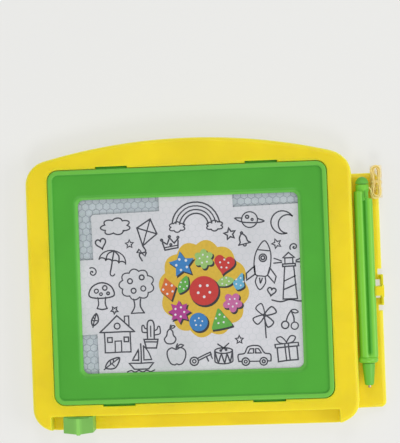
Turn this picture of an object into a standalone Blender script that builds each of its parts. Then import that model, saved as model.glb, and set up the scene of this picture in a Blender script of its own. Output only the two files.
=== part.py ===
"""A magnetic drawing board with a snap-in frame, an eraser slide and a tethered stylus.

Lengths are in metres. The board lies on its back: +Z comes out of the screen, +X points to the
stylus shelf and +Y to the arched top. The origin is on the back face, under the screen's centre.
"""
import math

import bmesh
import bpy
from mathutils import Matrix, Vector
from mathutils.geometry import interpolate_bezier

CLEARANCE = 0.0003
OVERRUN = 0.004
JOIN_DEPTH = 0.0004

# Layers from the table upwards
FLOOR_THICKNESS = 0.0018
CHANNEL_FLOOR_HEIGHT = 0.004
BAR_HEIGHT = 0.0042
NECK_THICKNESS = 0.002
LEDGE_THICKNESS = 0.0014
FILM_THICKNESS = 0.0003
CORE_THICKNESS = 0.0015
SHEET_THICKNESS = 0.0002
LIP_THICKNESS = 0.0026
FIELD_DROP = 0.0012
RIM_RISE = 0.0006

# Tray: the yellow moulding, sized from the frame that it holds
SIDE_MARGIN = 0.01275
ARCH_SHOULDER = 0.0067
ARCH_RISE = 0.0089
TOP_CORNER = 0.013
LOW_CORNER = 0.012
DRAFT = 0.001
EDGE_ROUND = 0.002
WALL = 0.0018
FACE_THICKNESS = 0.002
RIB_THICKNESS = 0.0012
SIDE_RIB_REACH = 0.028
TOP_RIB_REACH = 0.036
POCKET_SIDE_ROOM = 0.0019
POCKET_CORNER = 0.003
LEDGE_MARGIN = 0.0079
RAIL_DEPTH = 0.005

# Eraser channel along the lower edge
CHANNEL_LAND = 0.006
CHANNEL_BREADTH = 0.0085
CHANNEL_MARGIN = 0.01025
CHANNEL_CORNER = 0.0006

# Frame: the green moulding that snaps in from the front
FRAME_WIDTH = 0.145
FRAME_LENGTH = 0.122
FRAME_CORNER = 0.0055
RIM_WIDTH = 0.0023
RIM_ROUND = 0.0008
SKIRT_THICKNESS = 0.0018
SIDE_BORDER = 0.0152
END_BORDER = 0.0157
WINDOW_CORNER = 0.0032
WINDOW_BEVEL = 0.0014
HOOK_LENGTH = 0.0163
HOOK_PLACE = 0.039
HOOK_DEPTH = 0.001
HOOK_DROP = 0.0016
BARB_DEPTH = 0.0007
BARB_HEIGHT = 0.0013

# Screen laminate and the printed sheet over it
SCREEN_MARGIN = 0.0007
SEAL_WIDTH = 0.003
SHEET_LEFT_STRIP = 0.0073
SHEET_TOP_STRIP = 0.0069
SHEET_CREEP = 0.0067
TAB_CREEP = 0.008
SHEET_TOP_TAB = 0.0192
SHEET_SIDE_TAB = 0.0195
SHEET_TOP_TAB_SHIFT = 0.0051
SHEET_SIDE_TAB_SHIFT = -0.0045
SHEET_CORNER = 0.001
SHEET_TURN_DEG = 1.1

# Eraser slide
REST_FROM_END = 0.0142
BAR_WIDTH = 0.009
MAGNET_WIDTH = 0.006
MAGNET_HEIGHT = 0.0033
MAGNET_END = 0.002
NECK_WIDTH = 0.012
NECK_GRIP = 0.005
KNOB_WIDTH = 0.0155
KNOB_PROUD = 0.0002
KNOB_HEIGHT = 0.0104
KNOB_RIDGE = 0.0014
KNOB_NOSE = 0.0011
KNOB_CHEEK = 0.0022
KNOB_GAP = 0.0008
KNOB_ROUND = 0.0004

# Stylus shelf with its clip
SHELF_HEIGHT = 0.0052
SHELF_TOP_MARGIN = 0.007
SHELF_FOOT_MARGIN = 0.0076
SHELF_CORNER = 0.003
SHELF_ROUND = 0.002
SHELF_MARGIN = 0.0044
CLIP_PLACE = -0.0069
CLIP_LENGTH = 0.0158
CLIP_THICKNESS = 0.0012
CLIP_STANDOUT = 0.0005
CLIP_SLOT = 0.0030
CLIP_SLOT_DEPTH = 0.0022
CLIP_SHOULDER_RISE = 0.0016
CLIP_POST_MARGIN = 0.0006
HOOK_TOOTH_LENGTH = 0.0048
HOOK_TOOTH_SHIFT = -0.0004
HOOK_TOOTH_HEIGHT = 0.0035
HOOK_BITE = 0.0004
UPPER_HOLE_LENGTH = 0.0034
LOWER_HOLE_LENGTH = 0.0014

# Stylus
STYLUS_GAP = 0.001
STYLUS_TOP_GAP = 0.0021
BARREL_RADIUS = 0.0044
LOBE_RADIUS = 0.0021
LOBE_WRAP_DEG = 140
BARREL_TURN_DEG = 16
VALLEY_RISE = 0.0008
BARREL_LENGTH = 0.0855
COLLAR_RADIUS = 0.005
COLLAR_LENGTH = 0.003
HEAD_RADIUS = 0.0034
HEAD_LENGTH = 0.0034
DOME_RADIUS = 0.0034
DOME_LENGTH = 0.004
PLUG_RADIUS = 0.002
PLUG_LENGTH = 0.0024
NIB_LENGTH = 0.0115
NIB_WIDE_RADIUS = 0.0033
NIB_NARROW_RADIUS = 0.002
PIN_RADIUS = 0.0008
PIN_OUT = 0.0014
MAGNET_ROD_RADIUS = 0.0013
MAGNET_ROD_LENGTH = 0.006
EYELET_LENGTH = 0.0042
EYELET_SIDE = 0.001
EYELET_DEPTH = 0.001
BRIDGE_WIDTH = 0.0036
BRIDGE_SHIFT = 0.0011
BRIDGE_RISE = 0.0033

# Tether: a limp string from the shelf to the stylus head, folded into a small hank
CORD_DIAMETER = 0.0006
CORD_STEP = 0.00108
HANK_BEND = 0.0012
HANK_RUN = 0.0116
HANK_OVERHANG = 0.0042
HANK_SIDE_GAP = 0.0011
HANK_LAYERS = 4
LOOPS_PER_LAYER = 1.5
POINTS_PER_LOOP = 24
KNOT_RADIUS = 0.0011
TETHER_LEAD = 0.006
LEAD_BEND = 0.0013
LEAD_STEPS = 6
HEAD_HOLE_DEPTH = 0.0008

EASED_ANGLE_DEG = 40
ROUND_SIDES = 28
CORNER_STEPS = 9
ARCH_STEPS = 36
ROUND_STEPS = 5

YELLOW = (0.84, 0.66, 0.02)
GREEN = (0.10, 0.42, 0.06)
PEN_GREEN = (0.17, 0.55, 0.06)
CLEAR = (0.75, 0.80, 0.84)
CELL_GREY = (0.45, 0.52, 0.57)
SEAL_WHITE = (0.80, 0.81, 0.80)
PAPER = (0.72, 0.72, 0.74)
FERRITE = (0.06, 0.055, 0.05)
STEEL = (0.55, 0.42, 0.36)
STRING_TAN = (0.80, 0.56, 0.20)


def remove_everything():
    for old in list(bpy.data.objects):
        bpy.data.objects.remove(old, do_unlink=True)


def collection(name):
    group = bpy.data.collections.new(name)
    bpy.context.scene.collection.children.link(group)
    return group


def material(name, colour, roughness, metallic=0.0):
    made = bpy.data.materials.new(name)
    made.use_nodes = True
    shader = made.node_tree.nodes["Principled BSDF"]
    shader.inputs["Base Color"].default_value = (*colour, 1.0)
    shader.inputs["Roughness"].default_value = roughness
    shader.inputs["Metallic"].default_value = metallic
    made.diffuse_color = (*colour, 1.0)
    return made


def arc(centre, radius, start, end, steps):
    """Points on an arc, from the angle start to the angle end, both included."""
    return [(centre[0] + radius * math.cos(start + (end - start) * step / steps),
             centre[1] + radius * math.sin(start + (end - start) * step / steps))
            for step in range(steps + 1)]


def rounded_box(left, right, low, high, radius):
    """The outline of a rectangle with round corners, anticlockwise."""
    quarter = math.pi / 2
    corners = ((right - radius, low + radius), (right - radius, high - radius),
               (left + radius, high - radius), (left + radius, low + radius))
    points = []
    for turn, corner in enumerate(corners):
        points += arc(corner, radius, (turn - 1) * quarter, turn * quarter, CORNER_STEPS)
    return points


def plain_box(left, right, low, high):
    return [(left, low), (right, low), (right, high), (left, high)]


def body_outline(inset=0.0):
    """The tray's outline: straight sides and foot, and an arched top that blends into its corners."""
    half = BODY_WIDTH / 2 - inset
    arch_radius = ARCH_RADIUS - inset
    top_corner = TOP_CORNER - inset
    low_corner = LOW_CORNER - inset
    foot = -FOOT_REACH + inset
    arch_centre = ARCH_REACH - ARCH_RADIUS
    corner_x = half - top_corner
    corner_y = arch_centre + math.sqrt((arch_radius - top_corner) ** 2 - corner_x ** 2)
    blend = math.atan2(corner_y - arch_centre, corner_x)
    quarter = math.pi / 2
    points = arc((half - low_corner, foot + low_corner), low_corner, -quarter, 0, CORNER_STEPS)
    points += arc((corner_x, corner_y), top_corner, 0, blend, CORNER_STEPS)[:-1]
    points += arc((0, arch_centre), arch_radius, blend, math.pi - blend, ARCH_STEPS)
    points += arc((-corner_x, corner_y), top_corner, math.pi - blend, math.pi, CORNER_STEPS)[1:]
    points += arc((low_corner - half, foot + low_corner), low_corner, math.pi, 3 * quarter, CORNER_STEPS)
    return points


def heights():
    """The height of each layer, worked out from the table upwards."""
    level = {"floor": FLOOR_THICKNESS, "bar_low": FLOOR_THICKNESS + CLEARANCE}
    level["bar_top"] = level["bar_low"] + BAR_HEIGHT
    level["neck_low"] = CHANNEL_FLOOR_HEIGHT + CLEARANCE
    level["neck_top"] = level["neck_low"] + NECK_THICKNESS
    level["ledge_low"] = level["neck_top"] + CLEARANCE
    level["ledge_top"] = level["ledge_low"] + LEDGE_THICKNESS
    level["back_film"] = level["ledge_top"] + CLEARANCE
    level["core"] = level["back_film"] + FILM_THICKNESS + CLEARANCE
    level["front_film"] = level["core"] + CORE_THICKNESS + CLEARANCE
    level["sheet"] = level["front_film"] + FILM_THICKNESS + CLEARANCE
    level["lip"] = level["sheet"] + SHEET_THICKNESS + CLEARANCE
    level["field"] = level["lip"] + LIP_THICKNESS
    level["rim"] = level["field"] + FIELD_DROP
    level["face"] = level["rim"] - RIM_RISE
    level["plate"] = level["face"] - FACE_THICKNESS
    level["magnet_top"] = level["back_film"] - 2 * CLEARANCE
    return level


LEVEL = heights()
WINDOW_WIDTH = FRAME_WIDTH - 2 * SIDE_BORDER
WINDOW_LENGTH = FRAME_LENGTH - 2 * END_BORDER
BODY_WIDTH = FRAME_WIDTH + 2 * SIDE_MARGIN
ARCH_REACH = FRAME_LENGTH / 2 + ARCH_SHOULDER + ARCH_RISE
ARCH_RADIUS = ((FRAME_WIDTH / 2) ** 2 + ARCH_RISE ** 2) / (2 * ARCH_RISE)
CHANNEL_REACH = FRAME_LENGTH / 2 + CHANNEL_LAND
CHANNEL_LENGTH = BODY_WIDTH - 2 * CHANNEL_MARGIN
FOOT_REACH = CHANNEL_REACH + CHANNEL_BREADTH
LEDGE_REACH = WINDOW_LENGTH / 2 + LEDGE_MARGIN
SLIDE_REST = REST_FROM_END - CHANNEL_LENGTH / 2
SHELF_TOP = FRAME_LENGTH / 2 - SHELF_TOP_MARGIN
SHELF_FOOT = FOOT_REACH - SHELF_FOOT_MARGIN
POCKET_HALF = FRAME_WIDTH / 2 + POCKET_SIDE_ROOM
POCKET_TOP = FRAME_LENGTH / 2 + HOOK_DEPTH + BARB_DEPTH + 2 * CLEARANCE
POCKET_FOOT = CHANNEL_REACH - WALL
STYLUS_X = BODY_WIDTH / 2 + STYLUS_GAP + BARREL_RADIUS
STYLUS_Z = SHELF_HEIGHT + CLEARANCE + COLLAR_RADIUS
STYLUS_TOP = SHELF_TOP - STYLUS_TOP_GAP
BARREL_TOP = STYLUS_TOP - DOME_LENGTH - HEAD_LENGTH
COLLAR_TOP = BARREL_TOP - BARREL_LENGTH
NIB_TOP = COLLAR_TOP - COLLAR_LENGTH
SHELF_REACH = STYLUS_X + BARREL_RADIUS + SHELF_MARGIN
LOBE_REACH = ((BARREL_RADIUS - LOBE_RADIUS) * (math.cos(math.radians(BARREL_TURN_DEG))
                                               + math.sin(math.radians(BARREL_TURN_DEG))) + LOBE_RADIUS)
CLIP_Y = CLIP_PLACE + HOOK_TOOTH_SHIFT
HANK_WIDE = HANK_BEND + LOOPS_PER_LAYER * CORD_STEP
HANK_X = STYLUS_X + HEAD_RADIUS + HANK_SIDE_GAP + CORD_DIAMETER / 2 + HANK_WIDE
HANK_Y = SHELF_TOP + HANK_OVERHANG - HANK_RUN / 2 - HANK_WIDE - CORD_DIAMETER / 2
HANK_Z = SHELF_HEIGHT + CLEARANCE + CORD_DIAMETER / 2
TETHER_HOLE = Vector((HANK_X - HANK_WIDE, HANK_Y - HANK_RUN / 2 - TETHER_LEAD, 0))


def link_mesh(name, bm, group):
    mesh = bpy.data.meshes.new(name)
    bm.to_mesh(mesh)
    bm.free()
    made = bpy.data.objects.new(name, mesh)
    group.objects.link(made)
    return made


def prism(name, outline, low, high, group, along="Z"):
    """A closed prism, from a filled 2D curve. Along Y its outline is read as x, z; along X as y, z."""
    curve = bpy.data.curves.new(name, "CURVE")
    curve.dimensions = "2D"
    curve.fill_mode = "BOTH"
    curve.extrude = (high - low) / 2
    spline = curve.splines.new("POLY")
    spline.points.add(len(outline) - 1)
    for point, place in zip(spline.points, outline):
        point.co = (place[0], place[1], 0, 1)
    spline.use_cyclic_u = True
    guide = bpy.data.objects.new(name, curve)
    group.objects.link(guide)
    middle = (low + high) / 2
    turns = {"Z": Matrix.Translation((0, 0, middle)),
             "Y": Matrix.Translation((0, middle, 0)) @ Matrix.Rotation(math.pi / 2, 4, "X"),
             "X": Matrix.Translation((middle, 0, 0)) @ Matrix(((0, 0, 1, 0), (1, 0, 0, 0),
                                                               (0, 1, 0, 0), (0, 0, 0, 1)))}
    guide.matrix_world = turns[along]
    bpy.context.view_layer.update()
    filled = guide.evaluated_get(bpy.context.evaluated_depsgraph_get())
    bm = bmesh.new()
    bm.from_mesh(bpy.data.meshes.new_from_object(filled))
    bmesh.ops.remove_doubles(bm, verts=bm.verts, dist=CLEARANCE / 100)
    bmesh.ops.transform(bm, matrix=guide.matrix_world, verts=bm.verts)
    bmesh.ops.recalc_face_normals(bm, faces=bm.faces)
    bpy.data.objects.remove(guide, do_unlink=True)
    bpy.data.curves.remove(curve)
    return link_mesh(name, bm, group)


def turned(name, profile, group, place, axis="Y", sides=ROUND_SIDES, turn=0):
    """A turned solid about the Y or Z axis through place, from (radius, distance) pairs."""
    bm = bmesh.new()
    points = [bm.verts.new((radius, 0, -distance)) for radius, distance in profile]
    for first, second in zip(points, points[1:]):
        bm.edges.new((first, second))
    made = link_mesh(name, bm, group)
    screw = made.modifiers.new("Turn", "SCREW")
    screw.steps = sides
    screw.render_steps = sides
    screw.use_merge_vertices = True
    screw.merge_threshold = CLEARANCE / 100
    screw.use_smooth_shade = True
    lean = Matrix.Rotation(-math.pi / 2 if axis == "Y" else 0, 4, "X")
    made.matrix_world = Matrix.Translation(place) @ lean @ Matrix.Rotation(turn, 4, "Z")
    return made


def join(target, other, kind):
    """Cut the other shape away from the target, or join it on, and keep it as a guide."""
    change = target.modifiers.new(f"{kind.title()} {other.name}", "BOOLEAN")
    change.operation = kind
    change.solver = "EXACT"
    change.object = other
    other.hide_render = True
    other.display_type = "WIRE"


def cut(target, *others):
    for other in others:
        join(target, other, "DIFFERENCE")


def add(target, *others):
    for other in others:
        join(target, other, "UNION")


def draft_sides(made, width, length):
    """Lean the sides of a prism inwards, so that its top is narrower than its foot by the draft."""
    top = max(vert.co.z for vert in made.data.vertices)
    foot = min(vert.co.z for vert in made.data.vertices)
    for vert in made.data.vertices:
        share = (vert.co.z - foot) / (top - foot)
        vert.co.x *= 1 - share * DRAFT / (width / 2)
        vert.co.y *= 1 - share * DRAFT / (length / 2)


def round_top(made, radius, steps, keep=lambda edge: True):
    """Round the edges round the top face of a prism."""
    top = max(vert.co.z for vert in made.data.vertices)
    bm = bmesh.new()
    bm.from_mesh(made.data)
    edges = [edge for edge in bm.edges
             if all(abs(vert.co.z - top) < CLEARANCE / 10 for vert in edge.verts)
             and any(abs(face.normal.z) < 0.5 for face in edge.link_faces) and keep(edge)]
    bmesh.ops.bevel(bm, geom=edges, offset=radius, segments=steps, profile=0.5, affect="EDGES")
    bm.to_mesh(made.data)
    bm.free()


def ease_edges(made, width):
    bevel = made.modifiers.new("Eased edges", "BEVEL")
    bevel.width = width
    bevel.segments = 2
    bevel.limit_method = "ANGLE"
    bevel.angle_limit = math.radians(EASED_ANGLE_DEG)


def gutter(cutters):
    """The hollow under the face, round the pocket's walls, with its ribs and the channel left solid."""
    hollow = prism("gutter_space", body_outline(WALL), -OVERRUN, LEVEL["plate"], cutters)
    draft_sides(hollow, BODY_WIDTH, ARCH_REACH + FOOT_REACH)
    pocket_walls = prism("pocket_walls", plain_box(-POCKET_HALF - WALL, POCKET_HALF + WALL,
                                                   -CHANNEL_REACH, POCKET_TOP + WALL),
                         -2 * OVERRUN, LEVEL["face"], cutters)
    channel_walls = prism("channel_walls", plain_box(-CHANNEL_LENGTH / 2 - WALL, CHANNEL_LENGTH / 2 + WALL,
                                                     -FOOT_REACH - OVERRUN, -POCKET_FOOT),
                          CHANNEL_FLOOR_HEIGHT - WALL, LEVEL["face"], cutters)
    cut(hollow, pocket_walls, channel_walls)
    for side in (-1, 1):
        for place in (-SIDE_RIB_REACH, SIDE_RIB_REACH):
            rib = plain_box(*sorted((side * POCKET_HALF, side * (BODY_WIDTH / 2 + OVERRUN))),
                            place - RIB_THICKNESS / 2, place + RIB_THICKNESS / 2)
            cut(hollow, prism(f"side_rib_{side}_{place:.3f}", rib, -2 * OVERRUN, LEVEL["face"], cutters))
        rib = plain_box(side * TOP_RIB_REACH - RIB_THICKNESS / 2, side * TOP_RIB_REACH + RIB_THICKNESS / 2,
                        POCKET_TOP, ARCH_REACH + OVERRUN)
        cut(hollow, prism(f"top_rib_{side}", rib, -2 * OVERRUN, LEVEL["face"], cutters))
    return hollow


def tray(parts, cutters):
    board = prism("base_tray", body_outline(), 0, LEVEL["face"], parts)
    draft_sides(board, BODY_WIDTH, ARCH_REACH + FOOT_REACH)
    round_top(board, EDGE_ROUND, ROUND_STEPS)
    cut(board, gutter(cutters))

    inner = BODY_WIDTH / 2 - WALL
    outline = ([(inner, SHELF_TOP), (inner, -SHELF_FOOT)]
               + arc((SHELF_REACH - SHELF_CORNER, -SHELF_FOOT + SHELF_CORNER), SHELF_CORNER,
                     -math.pi / 2, 0, CORNER_STEPS)
               + arc((SHELF_REACH - SHELF_CORNER, SHELF_TOP - SHELF_CORNER), SHELF_CORNER,
                     0, math.pi / 2, CORNER_STEPS))
    shelf = prism("shelf_block", outline, 0, SHELF_HEIGHT, cutters)
    round_top(shelf, SHELF_ROUND, ROUND_STEPS - 1,
              keep=lambda edge: any(vert.co.x > inner + SHELF_CORNER for vert in edge.verts))
    add(board, shelf)
    under = rounded_box(BODY_WIDTH / 2, SHELF_REACH - WALL, -SHELF_FOOT + WALL, SHELF_TOP - WALL,
                        SHELF_CORNER - WALL)
    cut(board, prism("shelf_space", under, -OVERRUN, SHELF_HEIGHT - WALL, cutters))

    pocket = prism("pocket_space", rounded_box(-POCKET_HALF, POCKET_HALF, -POCKET_FOOT, POCKET_TOP,
                                               POCKET_CORNER), LEVEL["floor"], LEVEL["plate"], cutters)
    mouth = prism("frame_mouth", rounded_box(-FRAME_WIDTH / 2 - CLEARANCE, FRAME_WIDTH / 2 + CLEARANCE,
                                             -FRAME_LENGTH / 2 - CLEARANCE, FRAME_LENGTH / 2 + CLEARANCE,
                                             FRAME_CORNER), LEVEL["plate"] - CLEARANCE,
                  LEVEL["face"] + OVERRUN, cutters)
    cut(board, pocket, mouth)
    for side in (-1, 1):
        for end in (-1, 1):
            far = end * (FRAME_LENGTH / 2 + HOOK_DEPTH + CLEARANCE)
            near = end * FRAME_LENGTH / 2
            half = HOOK_LENGTH / 2 + CLEARANCE
            notch = plain_box(side * HOOK_PLACE - half, side * HOOK_PLACE + half, *sorted((near, far)))
            cut(board, prism(f"hook_notch_{side}_{end}", notch, LEVEL["plate"] - CLEARANCE,
                             LEVEL["face"] + OVERRUN, cutters))

    channel = rounded_box(-CHANNEL_LENGTH / 2, CHANNEL_LENGTH / 2, -FOOT_REACH - OVERRUN, -CHANNEL_REACH,
                          CHANNEL_CORNER)
    cut(board, prism("channel_space", channel, CHANNEL_FLOOR_HEIGHT, LEVEL["face"] + OVERRUN, cutters))
    slot_half = (CHANNEL_LENGTH - KNOB_WIDTH + NECK_WIDTH) / 2
    cut(board, prism("neck_slot", plain_box(-slot_half, slot_half, -CHANNEL_REACH - OVERRUN,
                                            -POCKET_FOOT + OVERRUN),
                     CHANNEL_FLOOR_HEIGHT, LEVEL["ledge_low"], cutters))

    grown = POCKET_HALF + JOIN_DEPTH
    ledge = plain_box(-grown, grown, -POCKET_FOOT - JOIN_DEPTH, -LEDGE_REACH)
    add(board, prism("screen_ledge", ledge, LEVEL["ledge_low"], LEVEL["ledge_top"], cutters))
    rail = plain_box(-grown, grown, LEDGE_REACH, LEDGE_REACH + RAIL_DEPTH)
    add(board, prism("screen_rail", rail, LEVEL["floor"] - JOIN_DEPTH, LEVEL["ledge_top"], cutters))
    clip(board, cutters)
    cut(board, cord_hole("tether_hole", TETHER_HOLE, SHELF_HEIGHT - WALL - OVERRUN / 2,
                         SHELF_HEIGHT + OVERRUN / 2, cutters))
    return board


def clip(board, cutters):
    """The springy tab on the shelf's outer edge, tall only at its tooth, its slots and two core holes."""
    outer = SHELF_REACH + CLIP_STANDOUT
    inner = outer - CLIP_THICKNESS
    half = CLIP_LENGTH / 2
    top = STYLUS_Z + HOOK_TOOTH_HEIGHT / 2
    for side in (-1, 1):
        near = CLIP_PLACE + side * half
        far = near + side * CLIP_SLOT
        slot = plain_box(SHELF_REACH - CLIP_SLOT_DEPTH, outer + OVERRUN, *sorted((near, far)))
        cut(board, prism(f"clip_slot_{side}", slot, -OVERRUN, top + OVERRUN, cutters))
    tooth_half = HOOK_TOOTH_LENGTH / 2
    post_half = tooth_half + CLIP_POST_MARGIN
    shoulder = SHELF_HEIGHT + CLIP_SHOULDER_RISE
    shape = [(CLIP_PLACE - half, 0), (CLIP_PLACE + half, 0), (CLIP_PLACE + half, shoulder),
             (CLIP_Y + post_half, shoulder), (CLIP_Y + post_half, top), (CLIP_Y - post_half, top),
             (CLIP_Y - post_half, shoulder), (CLIP_PLACE - half, shoulder)]
    tab = prism("clip_tab", shape, inner, outer, cutters, along="X")
    tooth_reach = STYLUS_X + LOBE_REACH - HOOK_BITE
    low = top - HOOK_TOOTH_HEIGHT
    profile = [(tooth_reach, top - HOOK_TOOTH_HEIGHT / 2), (inner, low), (inner + JOIN_DEPTH, low),
               (inner + JOIN_DEPTH, top), (tooth_reach, top)]
    tooth = prism("clip_tooth", profile, CLIP_Y - tooth_half, CLIP_Y + tooth_half, cutters, along="Y")
    add(board, tab, tooth)
    left = STYLUS_X + LOBE_REACH + CLEARANCE
    upper = plain_box(left, inner - CLEARANCE, CLIP_Y + tooth_half, CLIP_Y + tooth_half + UPPER_HOLE_LENGTH)
    lower = plain_box(left, inner - CLEARANCE, CLIP_Y - tooth_half - LOWER_HOLE_LENGTH, CLIP_Y - tooth_half)
    for name, hole in (("upper_core_hole", upper), ("lower_core_hole", lower)):
        cut(board, prism(name, hole, -OVERRUN, SHELF_HEIGHT + OVERRUN / 2, cutters))


def frame(parts, cutters):
    half_width, half_length = FRAME_WIDTH / 2, FRAME_LENGTH / 2
    foot = LEVEL["ledge_top"] + CLEARANCE
    outline = rounded_box(-half_width, half_width, -half_length, half_length, FRAME_CORNER)
    made = prism("front_frame", outline, foot, LEVEL["rim"], parts)
    round_top(made, RIM_ROUND, ROUND_STEPS - 1)
    inside_rim = rounded_box(-half_width + RIM_WIDTH, half_width - RIM_WIDTH, -half_length + RIM_WIDTH,
                             half_length - RIM_WIDTH, FRAME_CORNER - RIM_WIDTH)
    field = prism("field_space", inside_rim, LEVEL["field"], LEVEL["rim"] + OVERRUN, cutters)
    inside_skirt = rounded_box(-half_width + SKIRT_THICKNESS, half_width - SKIRT_THICKNESS,
                               -half_length + SKIRT_THICKNESS, half_length - SKIRT_THICKNESS,
                               FRAME_CORNER - SKIRT_THICKNESS)
    behind = prism("skirt_space", inside_skirt, foot - OVERRUN, LEVEL["lip"], cutters)
    cut(made, field, behind, window_space(cutters))
    for side in (-1, 1):
        for end in (-1, 1):
            add(made, hook(side, end, cutters))
    return made


def window_space(cutters):
    """The window's cutter: it widens towards the front, for the sloped edge round the window."""
    half_width, half_length = WINDOW_WIDTH / 2, WINDOW_LENGTH / 2
    outline = rounded_box(-half_width, half_width, -half_length, half_length, WINDOW_CORNER)
    space = prism("window_space", outline, LEVEL["lip"], LEVEL["field"], cutters)
    top = max(vert.co.z for vert in space.data.vertices)
    for vert in space.data.vertices:
        if vert.co.z > top - CLEARANCE:
            vert.co.x += math.copysign(WINDOW_BEVEL, vert.co.x)
            vert.co.y += math.copysign(WINDOW_BEVEL, vert.co.y)
            vert.co.z += CLEARANCE / 10
        else:
            vert.co.z -= CLEARANCE / 10
    return space


def hook(side, end, cutters):
    """A tongue down the frame's edge, with a barb that catches under the tray's face."""
    start = FRAME_LENGTH / 2 - JOIN_DEPTH
    tongue = FRAME_LENGTH / 2 + HOOK_DEPTH
    barb = tongue + BARB_DEPTH
    low = LEVEL["plate"] - CLEARANCE - 2 * BARB_HEIGHT
    profile = [(start, low), (tongue, low), (barb, low + BARB_HEIGHT), (barb, LEVEL["plate"] - CLEARANCE),
               (tongue, LEVEL["plate"] - CLEARANCE), (tongue, LEVEL["face"] - HOOK_DROP),
               (start, LEVEL["face"] - HOOK_DROP)]
    points = [(end * y, z) for y, z in profile]
    middle = side * HOOK_PLACE
    return prism(f"hook_{side}_{end}", points, middle - HOOK_LENGTH / 2, middle + HOOK_LENGTH / 2, cutters,
                 along="X")


def screen(parts, cutters):
    """The sealed laminate: a clear film, the honeycomb core in its edge seal, and a back film."""
    half_width = FRAME_WIDTH / 2 - SKIRT_THICKNESS - SCREEN_MARGIN
    half_length = FRAME_LENGTH / 2 - SKIRT_THICKNESS - SCREEN_MARGIN
    whole = rounded_box(-half_width, half_width, -half_length, half_length, SEAL_WIDTH)
    inner_width, inner_length = half_width - SEAL_WIDTH, half_length - SEAL_WIDTH
    room = rounded_box(-inner_width, inner_width, -inner_length, inner_length, SEAL_WIDTH)
    core_width, core_length = inner_width - CLEARANCE, inner_length - CLEARANCE
    core = rounded_box(-core_width, core_width, -core_length, core_length, SEAL_WIDTH)
    top = LEVEL["core"] + CORE_THICKNESS
    front_low = LEVEL["front_film"]
    back = prism("screen_back_film", whole, LEVEL["back_film"], LEVEL["back_film"] + FILM_THICKNESS, parts)
    seal = prism("screen_edge_seal", whole, LEVEL["core"], top, parts)
    cut(seal, prism("seal_room", room, LEVEL["core"] - OVERRUN, top + OVERRUN, cutters))
    honeycomb = prism("screen_honeycomb_core", core, LEVEL["core"], top, parts)
    front = prism("screen_front_film", whole, front_low, front_low + FILM_THICKNESS, parts)
    return back, seal, honeycomb, front


def picture_sheet(parts):
    """The printed sheet on the screen: a rectangle whose tabs reach under the frame's lip."""
    left, right = SHEET_LEFT_STRIP - WINDOW_WIDTH / 2, WINDOW_WIDTH / 2 + SHEET_CREEP
    foot, top = -WINDOW_LENGTH / 2 - SHEET_CREEP, WINDOW_LENGTH / 2 - SHEET_TOP_STRIP
    tab_left, tab_top = -WINDOW_WIDTH / 2 - TAB_CREEP, WINDOW_LENGTH / 2 + TAB_CREEP
    top_tab = (SHEET_TOP_TAB_SHIFT - SHEET_TOP_TAB, SHEET_TOP_TAB_SHIFT + SHEET_TOP_TAB)
    side_tab = (SHEET_SIDE_TAB_SHIFT - SHEET_SIDE_TAB, SHEET_SIDE_TAB_SHIFT + SHEET_SIDE_TAB)
    outline = [(left, foot), (right, foot), (right, top),
               (top_tab[1], top), (top_tab[1], tab_top), (top_tab[0], tab_top), (top_tab[0], top),
               (left + SHEET_CORNER, top), (left, top - SHEET_CORNER),
               (left, side_tab[1]), (tab_left, side_tab[1]), (tab_left, side_tab[0]), (left, side_tab[0])]
    turn = Matrix.Rotation(math.radians(SHEET_TURN_DEG), 2)
    points = [tuple(turn @ Vector(point)) for point in outline]
    return prism("picture_sheet", points, LEVEL["sheet"], LEVEL["sheet"] + SHEET_THICKNESS, parts)


def eraser_slide(parts, cutters):
    """The carrier behind the screen, its magnet strip, and the knob clipped on its neck."""
    half = BAR_WIDTH / 2
    end = LEDGE_REACH - CLEARANCE
    bar = prism("slider_carrier", rounded_box(-half, half, -end, end, half / 2), LEVEL["bar_low"],
                LEVEL["bar_top"], parts)
    magnet_low = LEVEL["magnet_top"] - MAGNET_HEIGHT
    magnet_end = end - MAGNET_END
    groove = plain_box(-MAGNET_WIDTH / 2 - CLEARANCE, MAGNET_WIDTH / 2 + CLEARANCE,
                       -magnet_end - CLEARANCE, magnet_end + CLEARANCE)
    cut(bar, prism("magnet_groove", groove, magnet_low - CLEARANCE, LEVEL["bar_top"] + OVERRUN, cutters))
    grip = -CHANNEL_REACH - CLEARANCE - NECK_GRIP
    neck = plain_box(-NECK_WIDTH / 2, NECK_WIDTH / 2, grip, -end + half / 4)
    add(bar, prism("carrier_neck", neck, LEVEL["neck_low"], LEVEL["neck_top"], cutters))
    strip = plain_box(-MAGNET_WIDTH / 2, MAGNET_WIDTH / 2, -magnet_end, magnet_end)
    magnet = prism("eraser_magnet", strip, magnet_low, LEVEL["magnet_top"], parts)
    knob = slider_knob(grip, parts, cutters)
    for piece in (bar, magnet, knob):
        piece.location.x = SLIDE_REST
    for guide in ("magnet_groove", "carrier_neck", "knob_front", "knob_recess", "knob_socket"):
        cutters.objects[guide].location.x = SLIDE_REST


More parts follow.
